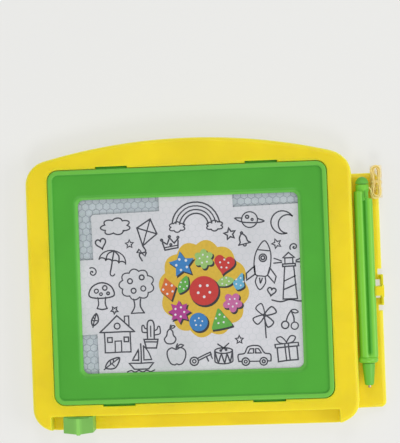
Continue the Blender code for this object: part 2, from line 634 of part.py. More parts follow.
def slider_knob(grip, parts, cutters):
    """The thumb knob: a low pitched roof whose ridge runs on over its nose, with a socket behind."""
    half = KNOB_WIDTH / 2
    back = -CHANNEL_REACH - CLEARANCE
    front = -FOOT_REACH - KNOB_PROUD
    low = LEVEL["neck_low"]
    eave = low + KNOB_HEIGHT
    plan = [(-half, back), (-half, front), (0, front - KNOB_NOSE), (half, front), (half, back)]
    knob = prism("slider_knob", plan, low, eave + KNOB_RIDGE + OVERRUN, parts)
    roof = [(-half - OVERRUN, low - OVERRUN), (half + OVERRUN, low - OVERRUN), (half + OVERRUN, eave),
            (half, eave), (0, eave + KNOB_RIDGE), (-half, eave), (-half - OVERRUN, eave)]
    shape = prism("knob_front", roof, front - KNOB_NOSE - OVERRUN, back + OVERRUN, cutters, along="Y")
    join(knob, shape, "INTERSECT")
    recess = plain_box(-half + KNOB_CHEEK, half - KNOB_CHEEK, back - KNOB_GAP, back + OVERRUN)
    socket_half = NECK_WIDTH / 2 + CLEARANCE
    socket = plain_box(-socket_half, socket_half, grip - CLEARANCE, back + OVERRUN)
    cut(knob, prism("knob_recess", recess, low - OVERRUN, eave + KNOB_RIDGE + OVERRUN, cutters),
        prism("knob_socket", socket, low - OVERRUN, LEVEL["neck_top"] + CLEARANCE, cutters))
    ease_edges(knob, KNOB_ROUND)
    return knob


def barrel_section():
    """The barrel's section, as x, z about its axis: round below, and two lobes with a valley above,
    turned a little towards the clip."""
    lobe_x = BARREL_RADIUS - LOBE_RADIUS
    wrap = math.radians(LOBE_WRAP_DEG)
    valley_half = lobe_x + LOBE_RADIUS * math.cos(wrap)
    lower = arc((0, 0), BARREL_RADIUS, math.pi, 2 * math.pi, 2 * CORNER_STEPS)
    right = arc((lobe_x, BARREL_RADIUS - LOBE_RADIUS), LOBE_RADIUS, 0, wrap, CORNER_STEPS + 2)
    left = [(-x, z) for x, z in reversed(right)]
    valley = [(valley_half / 2, VALLEY_RISE), (-valley_half / 2, VALLEY_RISE)]
    turn = Matrix.Rotation(-math.radians(BARREL_TURN_DEG), 2)
    return [tuple(turn @ Vector(point)) for point in lower + right + valley + left]


def stylus(parts, cutters):
    centre = Vector((STYLUS_X, 0, STYLUS_Z))
    section = [(x + STYLUS_X, z + STYLUS_Z) for x, z in barrel_section()]
    barrel = prism("stylus_barrel", section, COLLAR_TOP - JOIN_DEPTH, BARREL_TOP + JOIN_DEPTH, parts,
                   along="Y")
    ease = COLLAR_LENGTH / 4
    collar = turned("stylus_collar", [(0, 0), (COLLAR_RADIUS - ease, 0), (COLLAR_RADIUS, ease),
                                      (COLLAR_RADIUS, COLLAR_LENGTH - ease),
                                      (COLLAR_RADIUS - ease, COLLAR_LENGTH), (0, COLLAR_LENGTH)],
                    cutters, centre + Vector((0, COLLAR_TOP, 0)))
    head = turned("stylus_head", [(0, 0), (HEAD_RADIUS - ease, 0), (HEAD_RADIUS, ease),
                                  (HEAD_RADIUS, HEAD_LENGTH), (0, HEAD_LENGTH)],
                  cutters, centre + Vector((0, BARREL_TOP + HEAD_LENGTH, 0)))
    half_step = math.pi / 2 / CORNER_STEPS / 2
    hole = arc((BARREL_TOP + HEAD_LENGTH / 2, STYLUS_Z), CORD_DIAMETER / 2 + CLEARANCE, half_step,
               2 * math.pi + half_step, 2 * CORNER_STEPS)[:-1]
    cut(head, prism("head_hole", hole, STYLUS_X + HEAD_RADIUS - HEAD_HOLE_DEPTH,
                    STYLUS_X + HEAD_RADIUS + OVERRUN, cutters, along="X"))
    bridge_x = STYLUS_X + BRIDGE_SHIFT
    bridge_side = bridge_x + BRIDGE_WIDTH / 2
    eyelet_low = STYLUS_Z - EYELET_DEPTH
    eyelet = [(STYLUS_X + EYELET_SIDE, eyelet_low), (bridge_side, eyelet_low), (bridge_side, -OVERRUN),
              (bridge_side + OVERRUN, -OVERRUN), (bridge_side + OVERRUN, STYLUS_Z + BARREL_RADIUS + OVERRUN),
              (STYLUS_X + EYELET_SIDE, STYLUS_Z + BARREL_RADIUS + OVERRUN)]
    cut(barrel, prism("eyelet_space", eyelet, BARREL_TOP - EYELET_LENGTH, BARREL_TOP + OVERRUN, cutters,
                      along="Y"))
    bridge = prism("stylus_bridge", plain_box(bridge_x - BRIDGE_WIDTH / 2, bridge_side,
                                              BARREL_TOP - EYELET_LENGTH - JOIN_DEPTH,
                                              BARREL_TOP + JOIN_DEPTH),
                   eyelet_low - JOIN_DEPTH, STYLUS_Z + BRIDGE_RISE, cutters)
    add(barrel, collar, head, bridge)
    bores = (("cap_bore", STYLUS_TOP - DOME_LENGTH + OVERRUN, OVERRUN + PLUG_LENGTH + CLEARANCE),
             ("nib_bore", NIB_TOP + PLUG_LENGTH + CLEARANCE, PLUG_LENGTH + CLEARANCE + OVERRUN))
    for name, top, length in bores:
        radius = PLUG_RADIUS + CLEARANCE
        cut(barrel, turned(name, [(0, 0), (radius, 0), (radius, length), (0, length)], cutters,
                           centre + Vector((0, top, 0)), turn=math.pi / ROUND_SIDES))
    dent = plain_box(STYLUS_X + LOBE_REACH - HOOK_BITE - CLEARANCE, STYLUS_X + LOBE_REACH + OVERRUN,
                     CLIP_Y - HOOK_TOOTH_LENGTH / 2 - CLEARANCE, CLIP_Y + HOOK_TOOTH_LENGTH / 2 + CLEARANCE)
    cut(barrel, prism("clip_dent", dent, STYLUS_Z - COLLAR_RADIUS - CLEARANCE / 2,
                      STYLUS_Z + COLLAR_RADIUS + OVERRUN, cutters))
    cap(parts, centre)
    nib(parts, cutters, centre)
    return barrel


def cap(parts, centre):
    """The domed end cap with its plug."""
    quarter = math.pi / 2
    dome = [(DOME_RADIUS * math.sin(quarter * step / CORNER_STEPS),
             DOME_LENGTH - (DOME_LENGTH - CLEARANCE) * math.cos(quarter * step / CORNER_STEPS) - CLEARANCE)
            for step in range(CORNER_STEPS + 1)]
    seat = DOME_LENGTH - CLEARANCE
    profile = dome + [(PLUG_RADIUS, seat), (PLUG_RADIUS, seat + PLUG_LENGTH), (0, seat + PLUG_LENGTH)]
    return turned("stylus_cap", profile, parts, centre + Vector((0, STYLUS_TOP, 0)))


def nib(parts, cutters, centre):
    """The cone below the collar, and the magnet rod in it whose pin is the drawing tip."""
    top = NIB_TOP - CLEARANCE
    seat = PLUG_LENGTH
    end = seat + NIB_LENGTH - CLEARANCE
    profile = [(0, 0), (PLUG_RADIUS, 0), (PLUG_RADIUS, seat), (NIB_WIDE_RADIUS, seat),
               (NIB_NARROW_RADIUS + PIN_RADIUS / 2, end - PIN_RADIUS), (NIB_NARROW_RADIUS, end), (0, end)]
    place = centre + Vector((0, top + PLUG_LENGTH, 0))
    cone = turned("stylus_nib", profile, parts, place)
    rod_end = end - PIN_OUT - PIN_RADIUS
    rod_start = rod_end - MAGNET_ROD_LENGTH
    rod_room, pin_room = MAGNET_ROD_RADIUS + CLEARANCE, PIN_RADIUS + CLEARANCE
    room = [(0, -OVERRUN), (rod_room, -OVERRUN), (rod_room, rod_end), (pin_room, rod_end),
            (pin_room, end + OVERRUN), (0, end + OVERRUN)]
    cut(cone, turned("magnet_room", room, cutters, place))
    tip = end + PIN_OUT
    rod = [(0, rod_start), (MAGNET_ROD_RADIUS, rod_start), (MAGNET_ROD_RADIUS, rod_end - CLEARANCE),
           (PIN_RADIUS, rod_end - CLEARANCE), (PIN_RADIUS, tip - PIN_RADIUS / 2), (PIN_RADIUS / 2, tip),
           (0, tip)]
    return turned("stylus_magnet", rod, parts, place)


def cord_hole(name, place, low, high, cutters):
    """A cutter for a hole that the string passes through with its clearance, upwards from low to high."""
    radius = CORD_DIAMETER / 2 + CLEARANCE
    return turned(name, [(0, 0), (radius, 0), (radius, high - low), (0, high - low)], cutters,
                  place + Vector((0, 0, high)), axis="Z", sides=ROUND_SIDES // 2)


def cord_tube(name, points, resolution, group):
    curve = bpy.data.curves.new(name, "CURVE")
    curve.dimensions = "3D"
    curve.bevel_depth = CORD_DIAMETER / 2
    curve.bevel_resolution = resolution
    curve.use_fill_caps = True
    spline = curve.splines.new("POLY")
    spline.points.add(len(points) - 1)
    for point, place in zip(spline.points, points):
        point.co = (*place, 1)
    made = bpy.data.objects.new(name, curve)
    group.objects.link(made)
    return made


def hank_radius(turn):
    """The loops' half width after so many turns: it shrinks and grows again by one step a turn."""
    share = (turn / LOOPS_PER_LAYER) % 2
    return HANK_BEND + LOOPS_PER_LAYER * CORD_STEP * abs(1 - share)


def hank_height(turn):
    """The height after so many turns: it climbs one step in the half turn round each reversal."""
    height = HANK_Z
    for layer in range(1, HANK_LAYERS):
        share = (turn - layer * LOOPS_PER_LAYER) * 2 + 0.5
        share = min(1, max(0, share))
        height += CORD_STEP * share * share * (3 - 2 * share)
    return height


def hank_point(turn):
    """A point on the hank: up the left run, over the top bend, down the right run and back."""
    radius = hank_radius(turn)
    bend = math.pi * radius
    way = (turn % 1) * 2 * (HANK_RUN + bend)
    half = HANK_RUN / 2
    if way < HANK_RUN:
        x, y = -radius, way - half
    elif way < HANK_RUN + bend:
        angle = math.pi - (way - HANK_RUN) / radius
        x, y = radius * math.cos(angle), half + radius * math.sin(angle)
    elif way < 2 * HANK_RUN + bend:
        x, y = radius, half - (way - HANK_RUN - bend)
    else:
        angle = -(way - 2 * HANK_RUN - bend) / radius
        x, y = radius * math.cos(angle), -half + radius * math.sin(angle)
    return Vector((HANK_X + x, HANK_Y + y, hank_height(turn)))


def hank_end_turn():
    """The turn at which the last loop's lower bend runs straight towards the stylus."""
    whole = HANK_LAYERS * LOOPS_PER_LAYER
    turn = whole
    for _ in range(POINTS_PER_LOOP):
        bend = math.pi * hank_radius(turn)
        turn = whole - bend / 2 / (2 * (HANK_RUN + bend))
    return turn


def least_gap(points):
    """The least gap between stretches of the tube that lie more than a bend apart along it."""
    apart = POINTS_PER_LOOP // 3
    nearest = min((first - second).length for index, first in enumerate(points)
                  for second in points[index + apart:])
    return nearest - CORD_DIAMETER


def tether(parts, cutters):
    """The string: a knot under the shelf, a lead up through its hole, the hank, and a lead to the stylus."""
    last = hank_end_turn()
    count = round(last * POINTS_PER_LOOP)
    loops = [hank_point(last * step / count) for step in range(count + 1)]
    start = loops[0] - Vector((0, CORD_DIAMETER, 0))
    end = loops[-1] - Vector((CORD_DIAMETER, 0, 0))
    hank = [start] + loops + [end]
    print(f"hank: least gap {least_gap(loops) * 1000:.2f} mm")
    cord_tube("tether_hank", hank, 1, parts)

    knot_top = SHELF_HEIGHT - WALL - CLEARANCE
    knot_profile = [(KNOT_RADIUS * math.sin(math.pi * step / CORNER_STEPS / 2),
                     KNOT_RADIUS * (1 - math.cos(math.pi * step / CORNER_STEPS / 2)))
                    for step in range(2 * CORNER_STEPS + 1)]
    knot_profile[0] = (0, 0)
    knot_profile[-1] = (0, 2 * KNOT_RADIUS)
    turned("tether_knot", knot_profile, parts, TETHER_HOLE + Vector((0, 0, knot_top)), axis="Z",
           sides=ROUND_SIDES // 2)

    quarter = math.pi / 2
    rise = [Vector((TETHER_HOLE.x, TETHER_HOLE.y, knot_top + CLEARANCE))]
    rise += [TETHER_HOLE + Vector((0, LEAD_BEND * (1 - math.cos(quarter * step / LEAD_STEPS)),
                                   HANK_Z - LEAD_BEND * (1 - math.sin(quarter * step / LEAD_STEPS))))
             for step in range(LEAD_STEPS + 1)]
    rise.append(start - Vector((0, CLEARANCE, 0)))
    cord_tube("tether_board_lead", rise, 2, parts)

    from_hank = end - Vector((CLEARANCE, 0, 0))
    mouth = Vector((STYLUS_X + HEAD_RADIUS, BARREL_TOP + HEAD_LENGTH / 2, STYLUS_Z))
    stop = mouth - Vector((HEAD_HOLE_DEPTH - CLEARANCE, 0, 0))
    pull = Vector(((from_hank.x - mouth.x) / 2, 0, 0))
    steps = 2 * LEAD_STEPS
    across = interpolate_bezier(from_hank, from_hank - pull, mouth + pull, mouth, steps)
    cord_tube("tether_stylus_lead", [*across, stop], 2, parts)


def finish(parts):
    looks = {"base_tray": material("yellow_plastic", YELLOW, 0.35),
             "front_frame": material("green_plastic", GREEN, 0.35),
             "slider_knob": material("knob_plastic", GREEN, 0.4),
             "slider_carrier": material("carrier_plastic", GREEN, 0.45),
             "eraser_magnet": material("magnet_strip", FERRITE, 0.6),
             "screen_front_film": material("clear_film", CLEAR, 0.15),
             "screen_honeycomb_core": material("honeycomb", CELL_GREY, 0.5),
             "screen_edge_seal": material("edge_seal", SEAL_WHITE, 0.5),
             "screen_back_film": material("back_film", SEAL_WHITE, 0.4),
             "picture_sheet": material("printed_sheet", PAPER, 0.5),
             "stylus_barrel": material("barrel_plastic", PEN_GREEN, 0.3),
             "stylus_cap": material("cap_plastic", GREEN, 0.3),
             "stylus_nib": material("nib_plastic", PEN_GREEN, 0.3),
             "stylus_magnet": material("tip_steel", STEEL, 0.35, 1.0)}
    string = material("tether_string", STRING_TAN, 0.7)
    for piece in parts.objects:
        piece.data.materials.append(looks.get(piece.name, string))


def main():
    remove_everything()
    parts = collection("magnetic_drawing_board")
    cutters = collection("cutters")
    tray(parts, cutters)
    frame(parts, cutters)
    screen(parts, cutters)
    picture_sheet(parts)
    eraser_slide(parts, cutters)
    stylus(parts, cutters)
    tether(parts, cutters)
    finish(parts)


main()
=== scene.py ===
"""The looks of the magnetic drawing board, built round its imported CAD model. Lengths are in metres."""
import math
import random

import bmesh
import bpy
from mathutils import Matrix, Vector, noise
from mathutils.geometry import interpolate_bezier


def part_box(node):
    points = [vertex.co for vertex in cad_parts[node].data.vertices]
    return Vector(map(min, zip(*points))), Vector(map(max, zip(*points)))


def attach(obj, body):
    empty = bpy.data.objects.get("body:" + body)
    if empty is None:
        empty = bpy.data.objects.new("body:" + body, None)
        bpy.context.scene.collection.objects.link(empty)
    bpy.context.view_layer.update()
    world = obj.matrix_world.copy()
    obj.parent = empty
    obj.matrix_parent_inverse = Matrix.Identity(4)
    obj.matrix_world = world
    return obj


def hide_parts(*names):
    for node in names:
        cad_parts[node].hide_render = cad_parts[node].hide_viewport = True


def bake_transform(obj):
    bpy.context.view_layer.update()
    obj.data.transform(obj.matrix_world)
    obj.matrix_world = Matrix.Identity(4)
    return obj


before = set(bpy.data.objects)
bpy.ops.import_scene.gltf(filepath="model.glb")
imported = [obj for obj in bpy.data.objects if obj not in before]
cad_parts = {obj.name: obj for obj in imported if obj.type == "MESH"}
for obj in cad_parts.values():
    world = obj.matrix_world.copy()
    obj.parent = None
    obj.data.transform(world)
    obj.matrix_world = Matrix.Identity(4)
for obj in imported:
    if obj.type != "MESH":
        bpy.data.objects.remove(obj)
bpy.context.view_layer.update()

# Camera, fitted to the corners of the frame, window and tray in the photograph
CAMERA_PLACE = Vector((0.05516, 0.02540, 0.73723))
CAMERA_RIGHT = Vector((0.99704, -0.03688, -0.06750))
CAMERA_UP = Vector((0.03740, 0.99928, 0.00650))
CAMERA_BACK = Vector((0.06722, -0.00900, 0.99770))
FOCAL_PX = 1400
PHOTO_HEIGHT_PX = 443
SENSOR_MM = 36

# Stage, with each light's name, place, size and power in watts
FLOOR_HALF = 3.0
FLOOR_DROP = 0.0001
FLOOR_COLOUR = (0.27, 0.27, 0.264)
FLOOR_GLOW = 0.54
WORLD_COLOUR = (1.0, 1.0, 1.0)
WORLD_STRENGTH = 0.52
LIGHTS = (("low", (0.12, -1.15, 1.35), 0.6, 7.2), ("high", (0.12, 1.15, 1.35), 0.6, 4.8),
          ("side", (1.3, -0.2, 1.0), 0.9, 7.8), ("fill", (-1.3, -0.1, 1.0), 0.9, 2.2))

# Board, as in the part's source
BODY_EDGE = 0.08525
SHELF_HEIGHT = 0.0052
SHELF_TOP = 0.054
WALL = 0.0018
CLEARANCE = 0.0003
CLIP_Y = -0.0073
CLIP_HALF = 0.0027

# Mesh finish
MERGE = 0.000002
LEVEL_FACE = 0.99999
SHARP_DEG = 32
ROUNDED_SHARP_DEG = 40
EDGE_EASE = 0.00028
WINDOW_EASE = 0.0011
UPRIGHT_REACH = 0.0009
UPRIGHT_FADE = 0.004
UPRIGHT_FROM_EDGE = 0.007
TRAY_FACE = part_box("base_tray")[1].z - EDGE_EASE
FRAME_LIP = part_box("picture_sheet")[1].z + WALL
WINDOW_REACH = Vector((0.060, 0.048))

# Materials. Noise mostly stays between its low and its high mark
NOISE_LOW = 0.3
NOISE_HIGH = 0.7
FLOW_SCALE = 38
FLOW_MOTTLE = 0.05
WEAR_SCALE = 420
GLOSS_LESS = 0.05
GLOSS_MORE = 0.06
GRAIN_SCALE = 2600
GRAIN_DEPTH = 0.00003
GRAIN_STRENGTH = 0.35
# Painted highlights: the height below a given level over which the paler top colour blends in, and the facings
# where the paler edge colour starts and where it is full
PAINTED_HIGHLIGHT_BLEND = 0.0004
PAINTED_EDGE_HIGHLIGHT_STARTS = 0.95
PAINTED_EDGE_HIGHLIGHT_FULL = 0.5
# Light in the yellow plastic spreads evenly in red and green
SCATTER = (1.0, 1.0, 0.1)
LINE_FAINTNESS = 0.3
LINE_COLOUR = (0.40, 0.46, 0.47)

# Screen cells
CELL_PITCH = 0.0037
CELL_WALL = 0.00030
CELL_SINK = 0.0002
CELL_TAPER = 0.97
ROW_STEP = CELL_PITCH * math.sqrt(3) / 2

# Print
PRINT_STEP = 0.000012
INK_HALF = 0.00036
STROKE_GAP = 0.0011
WOBBLE = 0.00022
WOBBLE_SCALE = 130
WOBBLE_SEED = 7
CURVE_STEPS = 6
BUMP_STEPS = 8
MITRE_MOST = 1.6
MITRE_LEAST_COSINE = 0.4
MM = 0.001
BADGE_X = 7.0
BADGE_Y = -3.0
BADGE_TURN = 8
SHADOW_GROWTH = 1.04
SHADOW_X = 0.65
SHADOW_Y = -0.8
SPOTS = 5
SPOT_RADIUS = 0.095
SPOT_REACH = 0.42

# Stylus, as in the part's source
BARREL_RADIUS = 0.0044
BARREL_TURN = math.radians(16)
LOBE_RADIUS = 0.0021
LOBE_X = BARREL_RADIUS - LOBE_RADIUS
LOBE_SWEEP = math.radians(146)
LOBE_STEPS = 14
BELOW_STEPS = 24
LOBE_REACH = LOBE_X * (math.cos(BARREL_TURN) + math.sin(BARREL_TURN)) + LOBE_RADIUS
VALLEY_SIDE = ((0.00043, 0.0031), (0.00034, 0.0027), (0.0002, 0.0024))
VALLEY_FLOOR = 0.0023
VALLEY_BOWL = 0.003
VALLEY_SHIFT = 0.0005
VALLEY_COVER_DIP = 0.08
# Painted shade along the barrel's valley: how far from its middle it reaches, and over how much it fades out
VALLEY_SHADE_REACH = 0.0021
VALLEY_SHADE_FADE = 0.0014
COLLAR_RADIUS = 0.005
COLLAR_LENGTH = 0.003
HEAD_RADIUS = 0.0034
HEAD_LENGTH = 0.0034
DOME_LENGTH = 0.004
BARREL_LENGTH = 0.0855
HOOK_BITE = 0.0004
EYELET_LENGTH = 0.0042
EYELET_SIDE = 0.001
EYELET_DEPTH = 0.001
EYELET_ROUND = 0.0011
BRIDGE_WIDTH = 0.0036
BRIDGE_SHIFT = 0.0011
BRIDGE_RISE = 0.0033
BRIDGE_BELOW = 0.0008
BRIDGE_ABOVE = 0.0006
BRIDGE_ROUND = 0.0004
# How much of the painted valley shade the bridge gets
BRIDGE_SHADE = 0.6
STYLUS_X = BODY_EDGE + 0.001 + BARREL_RADIUS
STYLUS_Z = SHELF_HEIGHT + CLEARANCE + COLLAR_RADIUS
BARREL_TOP = SHELF_TOP - 0.0021 - DOME_LENGTH - HEAD_LENGTH
COLLAR_TOP = BARREL_TOP - BARREL_LENGTH
# Round ends: how far up from the collar's foot or the barrel's top each ring lies, and its radius
COLLAR_PROFILE = ((0, 0.0036), (0, 0.0041), (0.0002, 0.0045), (0.0006, 0.0048), (0.0012, 0.0050),
                  (0.0020, 0.0050), (0.0026, 0.0048), (0.0029, 0.0046))
HEAD_PROFILE = ((0, 0.0034), (0.0031, 0.0034), (0.0033, 0.0033), (0.0034, 0.0031), (0.0034, 0.0024))
# Where the barrel's other rings lie: the first place of a row, its step and its count
BARREL_ROWS = ((COLLAR_TOP + 0.0001, 0.0004, 9), (COLLAR_TOP + 0.0038, 0.002, 14),
               (CLIP_Y - CLIP_HALF - 0.0001, 0.0002, 2), (CLIP_Y, 0, 1),
               (CLIP_Y + CLIP_HALF - 0.0001, 0.0002, 2), (CLIP_Y + 0.0045, 0.003, 13),
               (BARREL_TOP - EYELET_LENGTH - 0.0006, 0.0003, 9), (BARREL_TOP - 0.0020, 0.0009, 3))
BARREL_STOP = BARREL_TOP - 0.0001

# Thumb knob
KNOB_NOSE = 0.0012
KNOB_GAP = 0.0008
KNOB_SLOT = 0.0002
KNOB_CHEEK = 0.0022
KNOB_RIDGE = 0.0014
KNOB_RIDGE_HALF = 0.0009
KNOB_ROUND = 0.00012
KNOB_ROUND_FROM = math.radians(20)
KNOB_STRIP_RISE = 0.00025
KNOB_STRIP_REACH = 0.0005

# Tether, as in the part's source
CORD_DIAMETER = 0.0006
CORD_STEP = 0.00108
HANK_BEND = 0.0012
HANK_RUN = 0.0116
HANK_OVERHANG = 0.0042
HANK_SIDE_GAP = 0.0011
HANK_LAYERS = 4
LOOPS_PER_LAYER = 1.5
HANK_LOOPS = HANK_LAYERS * LOOPS_PER_LAYER
HANK_WIDE = HANK_BEND + LOOPS_PER_LAYER * CORD_STEP
HANK_X = STYLUS_X + HEAD_RADIUS + HANK_SIDE_GAP + CORD_DIAMETER / 2 + HANK_WIDE
HANK_Y = SHELF_TOP + HANK_OVERHANG - HANK_RUN / 2 - HANK_WIDE - CORD_DIAMETER / 2
HANK_Z = SHELF_HEIGHT + CLEARANCE + CORD_DIAMETER / 2
HANK_TALL = (HANK_LAYERS - 1) * CORD_STEP
CLIMB_TURNS = 0.5
END_TRIES = 24
TETHER_LEAD = 0.006
TETHER_HOLE = Vector((HANK_X - HANK_WIDE, HANK_Y - HANK_RUN / 2 - TETHER_LEAD, 0))
LEAD_BEND = 0.0013
LEAD_STEPS = 12
HEAD_HOLE_DEPTH = 0.0008
POINTS_PER_LOOP = 96

# Tether's looks
PLIES = 3
PLY_PITCH = 0.0016
PLY_STEPS = 8
PLY_SIDES = 12
PLY_DEPTH = 0.16
HANK_PINCH = 0.28
HANK_WANDER = 0.0003
WANDER_TURNS = 4.4
TIE_RADIUS = 0.00013
TIE_PITCH = 0.00034
TIE_TURNS = 4
TIE_STEPS = 40
TIE_SIDES = 8
TIE_SQUARE = 0.35
# A direction that no thread follows
THREAD_ASIDE = Vector((0.13, 0.08, 1))
FLUFF_SEED = 7
FLUFF_COUNT = 260
FLUFF_FROM_START = 0.1
FLUFF_FROM_END = 0.5
FLUFF_STEPS = 12
FLUFF_STEP = 0.00032
FLUFF_CURL = 0.5
FLUFF_FALL = -0.2
FLUFF_RISE = 0.5
FLUFF_RADIUS = 0.00007
FLUFF_SIDES = 3
FLUFF_THINNING = 0.7


def feed(tree, made, inputs):
    """Set a node's inputs: to numbers, or to sockets that are linked in."""
    for key, value in inputs.items():
        if isinstance(value, bpy.types.NodeSocket):
            tree.links.new(value, made.inputs[key])
        else:
            made.inputs[key].default_value = value


def node(tree, kind, inputs=None, **settings):
    """A shader node with its settings and its inputs."""
    made = tree.nodes.new(kind)
    for key, value in settings.items():
        setattr(made, key, value)
    feed(tree, made, inputs or {})
    return made


def material(name):
    """A new material, its tree, its shader and the place on the object."""
    made = bpy.data.materials.new(name)
    made.use_nodes = True
    tree = made.node_tree
    return made, tree, tree.nodes["Principled BSDF"], node(tree, "ShaderNodeTexCoord").outputs["Object"]


def ramp(tree, factor, stops):
    made = node(tree, "ShaderNodeValToRGB", {"Fac": factor})
    elements = made.color_ramp.elements
    while len(elements) < len(stops):
        elements.new(0.5)
    for element, (place, colour) in zip(elements, stops):
        element.position = place
        element.color = (*colour, 1.0)
    return made.outputs["Color"]


def mottled(colour, spread):
    """Ramp stops for one colour that is a little darker and lighter in places."""
    return [(place, tuple(min(1.0, part * factor) for part in colour))
            for place, factor in ((NOISE_LOW, 1 - spread), (NOISE_HIGH, 1 + spread))]


def mixed(tree, factor, first, second):
    """One colour turning into a second, plain one by a factor."""
    blend = node(tree, "ShaderNodeMix", {"Factor": factor, 6: first, 7: (*second, 1.0)}, data_type="RGBA")
    return blend.outputs[2]


def cloudy(tree, where, scale, detail, uneven=0.5, warp=0.0):
    """The value of a noise at a place."""
    return node(tree, "ShaderNodeTexNoise", {"Vector": where, "Scale": scale, "Detail": detail,
                                             "Roughness": uneven, "Distortion": warp}).outputs["Fac"]


def stretched(tree, value, start, end, low=0.0, high=1.0, kind="LINEAR"):
    """A value between start and end, brought to between low and high."""
    return node(tree, "ShaderNodeMapRange", {"Value": value, "From Min": start, "From Max": end,
                                             "To Min": low, "To Max": high},
                interpolation_type=kind).outputs["Result"]


def relief(tree, shader, height, distance, strength):
    bump = node(tree, "ShaderNodeBump", {"Height": height, "Distance": distance, "Strength": strength})
    feed(tree, shader, {"Normal": bump.outputs["Normal"]})


def vector_maths(tree, operation, *terms, result="Vector"):
    return node(tree, "ShaderNodeVectorMath", dict(enumerate(terms)), operation=operation).outputs[result]


def maths(tree, operation, first, second):
    return node(tree, "ShaderNodeMath", {0: first, 1: second}, operation=operation).outputs["Value"]


def plastic(name, colour, roughness=0.36, edge=None, painted_highlight_above=None, painted_shade_colour=None, depth=0.0, gleam=0.32):
    """Moulded plastic: faint flow marks in its colour, uneven gloss, a fine grain and a painted highlight:
    faces tilted away from straight up, as on rounded edges and steep walls, turn towards the paler colour edge.

    painted_highlight_above is a height and the paler colour painted above it as a highlight,
    painted_shade_colour the darker colour painted as shade into a piece's own valley, and depth how far light
    spreads inside.
    """
    made, tree, shader, where = material(name)
    tint = ramp(tree, cloudy(tree, where, FLOW_SCALE, 3, warp=0.6), mottled(colour, FLOW_MOTTLE))
    # Painted highlight: above a given height, such as the frame's rim top and the knob's ridge strip, the
    # colour turns paler.
    if painted_highlight_above:
        height = node(tree, "ShaderNodeSeparateXYZ", {0: where}).outputs["Z"]
        tint = mixed(tree, stretched(tree, height, painted_highlight_above[0] - PAINTED_HIGHLIGHT_BLEND, painted_highlight_above[0]), tint, painted_highlight_above[1])
    # Painted highlight: faces that tilt away from straight up turn towards the paler edge colour.
    if edge:
        normal = node(tree, "ShaderNodeNewGeometry").outputs["Normal"]
        facing = node(tree, "ShaderNodeSeparateXYZ", {0: normal}).outputs["Z"]
        tint = mixed(tree, stretched(tree, facing, PAINTED_EDGE_HIGHLIGHT_STARTS, PAINTED_EDGE_HIGHLIGHT_FULL, kind="SMOOTHSTEP"), tint, edge)
    # Painted shade: the darker colour, by a share that the mesh stores at each point.
    if painted_shade_colour:
        painted_shade_share = node(tree, "ShaderNodeAttribute", attribute_name="painted_shade_share").outputs["Fac"]
        tint = mixed(tree, painted_shade_share, tint, painted_shade_colour)
    wear = cloudy(tree, where, WEAR_SCALE, 4, 0.6)
    gloss = stretched(tree, wear, NOISE_LOW, NOISE_HIGH, roughness - GLOSS_LESS, roughness + GLOSS_MORE)
    feed(tree, shader, {"Base Color": tint, "Roughness": gloss, "Specular IOR Level": gleam})
    relief(tree, shader, cloudy(tree, where, GRAIN_SCALE, 2), GRAIN_DEPTH, GRAIN_STRENGTH)
    if depth:
        feed(tree, shader, {"Subsurface Weight": 1.0, "Subsurface Scale": depth, "Subsurface Radius": SCATTER})
    return made


def hexagon_lines(tree, where):
    """0 inside the hexagon cells and 1 on the lines between them, on the screen's own lattice."""
    wide, tall = CELL_PITCH / 2, ROW_STEP
    flat = []
    for place in (where, vector_maths(tree, "ADD", where, (wide, tall, 0.0))):
        cell = vector_maths(tree, "WRAP", place, (wide, tall, 1.0), (-wide, -tall, -1.0))
        flat.append(vector_maths(tree, "MULTIPLY", cell, (1.0, 1.0, 0.0)))
    nearer = maths(tree, "GREATER_THAN", *[vector_maths(tree, "LENGTH", side, result="Value") for side in flat])
    chosen = node(tree, "ShaderNodeMix", {"Factor": nearer, 4: flat[0], 5: flat[1]}, data_type="VECTOR")
    folded = vector_maths(tree, "ABSOLUTE", chosen.outputs[1])
    slant = vector_maths(tree, "DOT_PRODUCT", folded, (0.5, math.sqrt(3) / 2, 0.0), result="Value")
    reach = maths(tree, "MAXIMUM", node(tree, "ShaderNodeSeparateXYZ", {0: folded}).outputs["X"], slant)
    return stretched(tree, reach, wide - CELL_WALL * 0.9, wide - CELL_WALL * 0.2, kind="SMOOTHSTEP")


def paper(name):
    """Printed card over the screen, with the cells showing through it very faintly."""
    made, tree, shader, where = material(name)
    ground = ramp(tree, cloudy(tree, where, 45, 4), [(NOISE_LOW, (0.55, 0.56, 0.58)),
                                                     (NOISE_HIGH, (0.655, 0.65, 0.69))])
    faint = maths(tree, "MULTIPLY", hexagon_lines(tree, where), LINE_FAINTNESS)
    feed(tree, shader, {"Base Color": mixed(tree, faint, ground, LINE_COLOUR), "Roughness": 0.48})
    relief(tree, shader, cloudy(tree, where, 1500, 3), 0.00002, 0.3)
    return made


def patterned(name, scale, detail, stops, inputs, uneven=0.5, stretch=None, bump=None):
    """A material coloured by a noise, with its shader's other inputs; bump is a depth and a strength."""
    made, tree, shader, where = material(name)
    if stretch:
        where = node(tree, "ShaderNodeMapping", {"Vector": where, "Scale": stretch}).outputs["Vector"]
    height = cloudy(tree, where, scale, detail, uneven)
    feed(tree, shader, {"Base Color": ramp(tree, height, stops), **inputs})
    if bump:
        relief(tree, shader, height, *bump)
    return made


def printed(name, colour, spread=0.06):
    """A printed colour on the card: even, with the faint mottle of ink on paper."""
    return patterned(name, 700, 3, mottled(colour, spread), {"Roughness": 0.45})


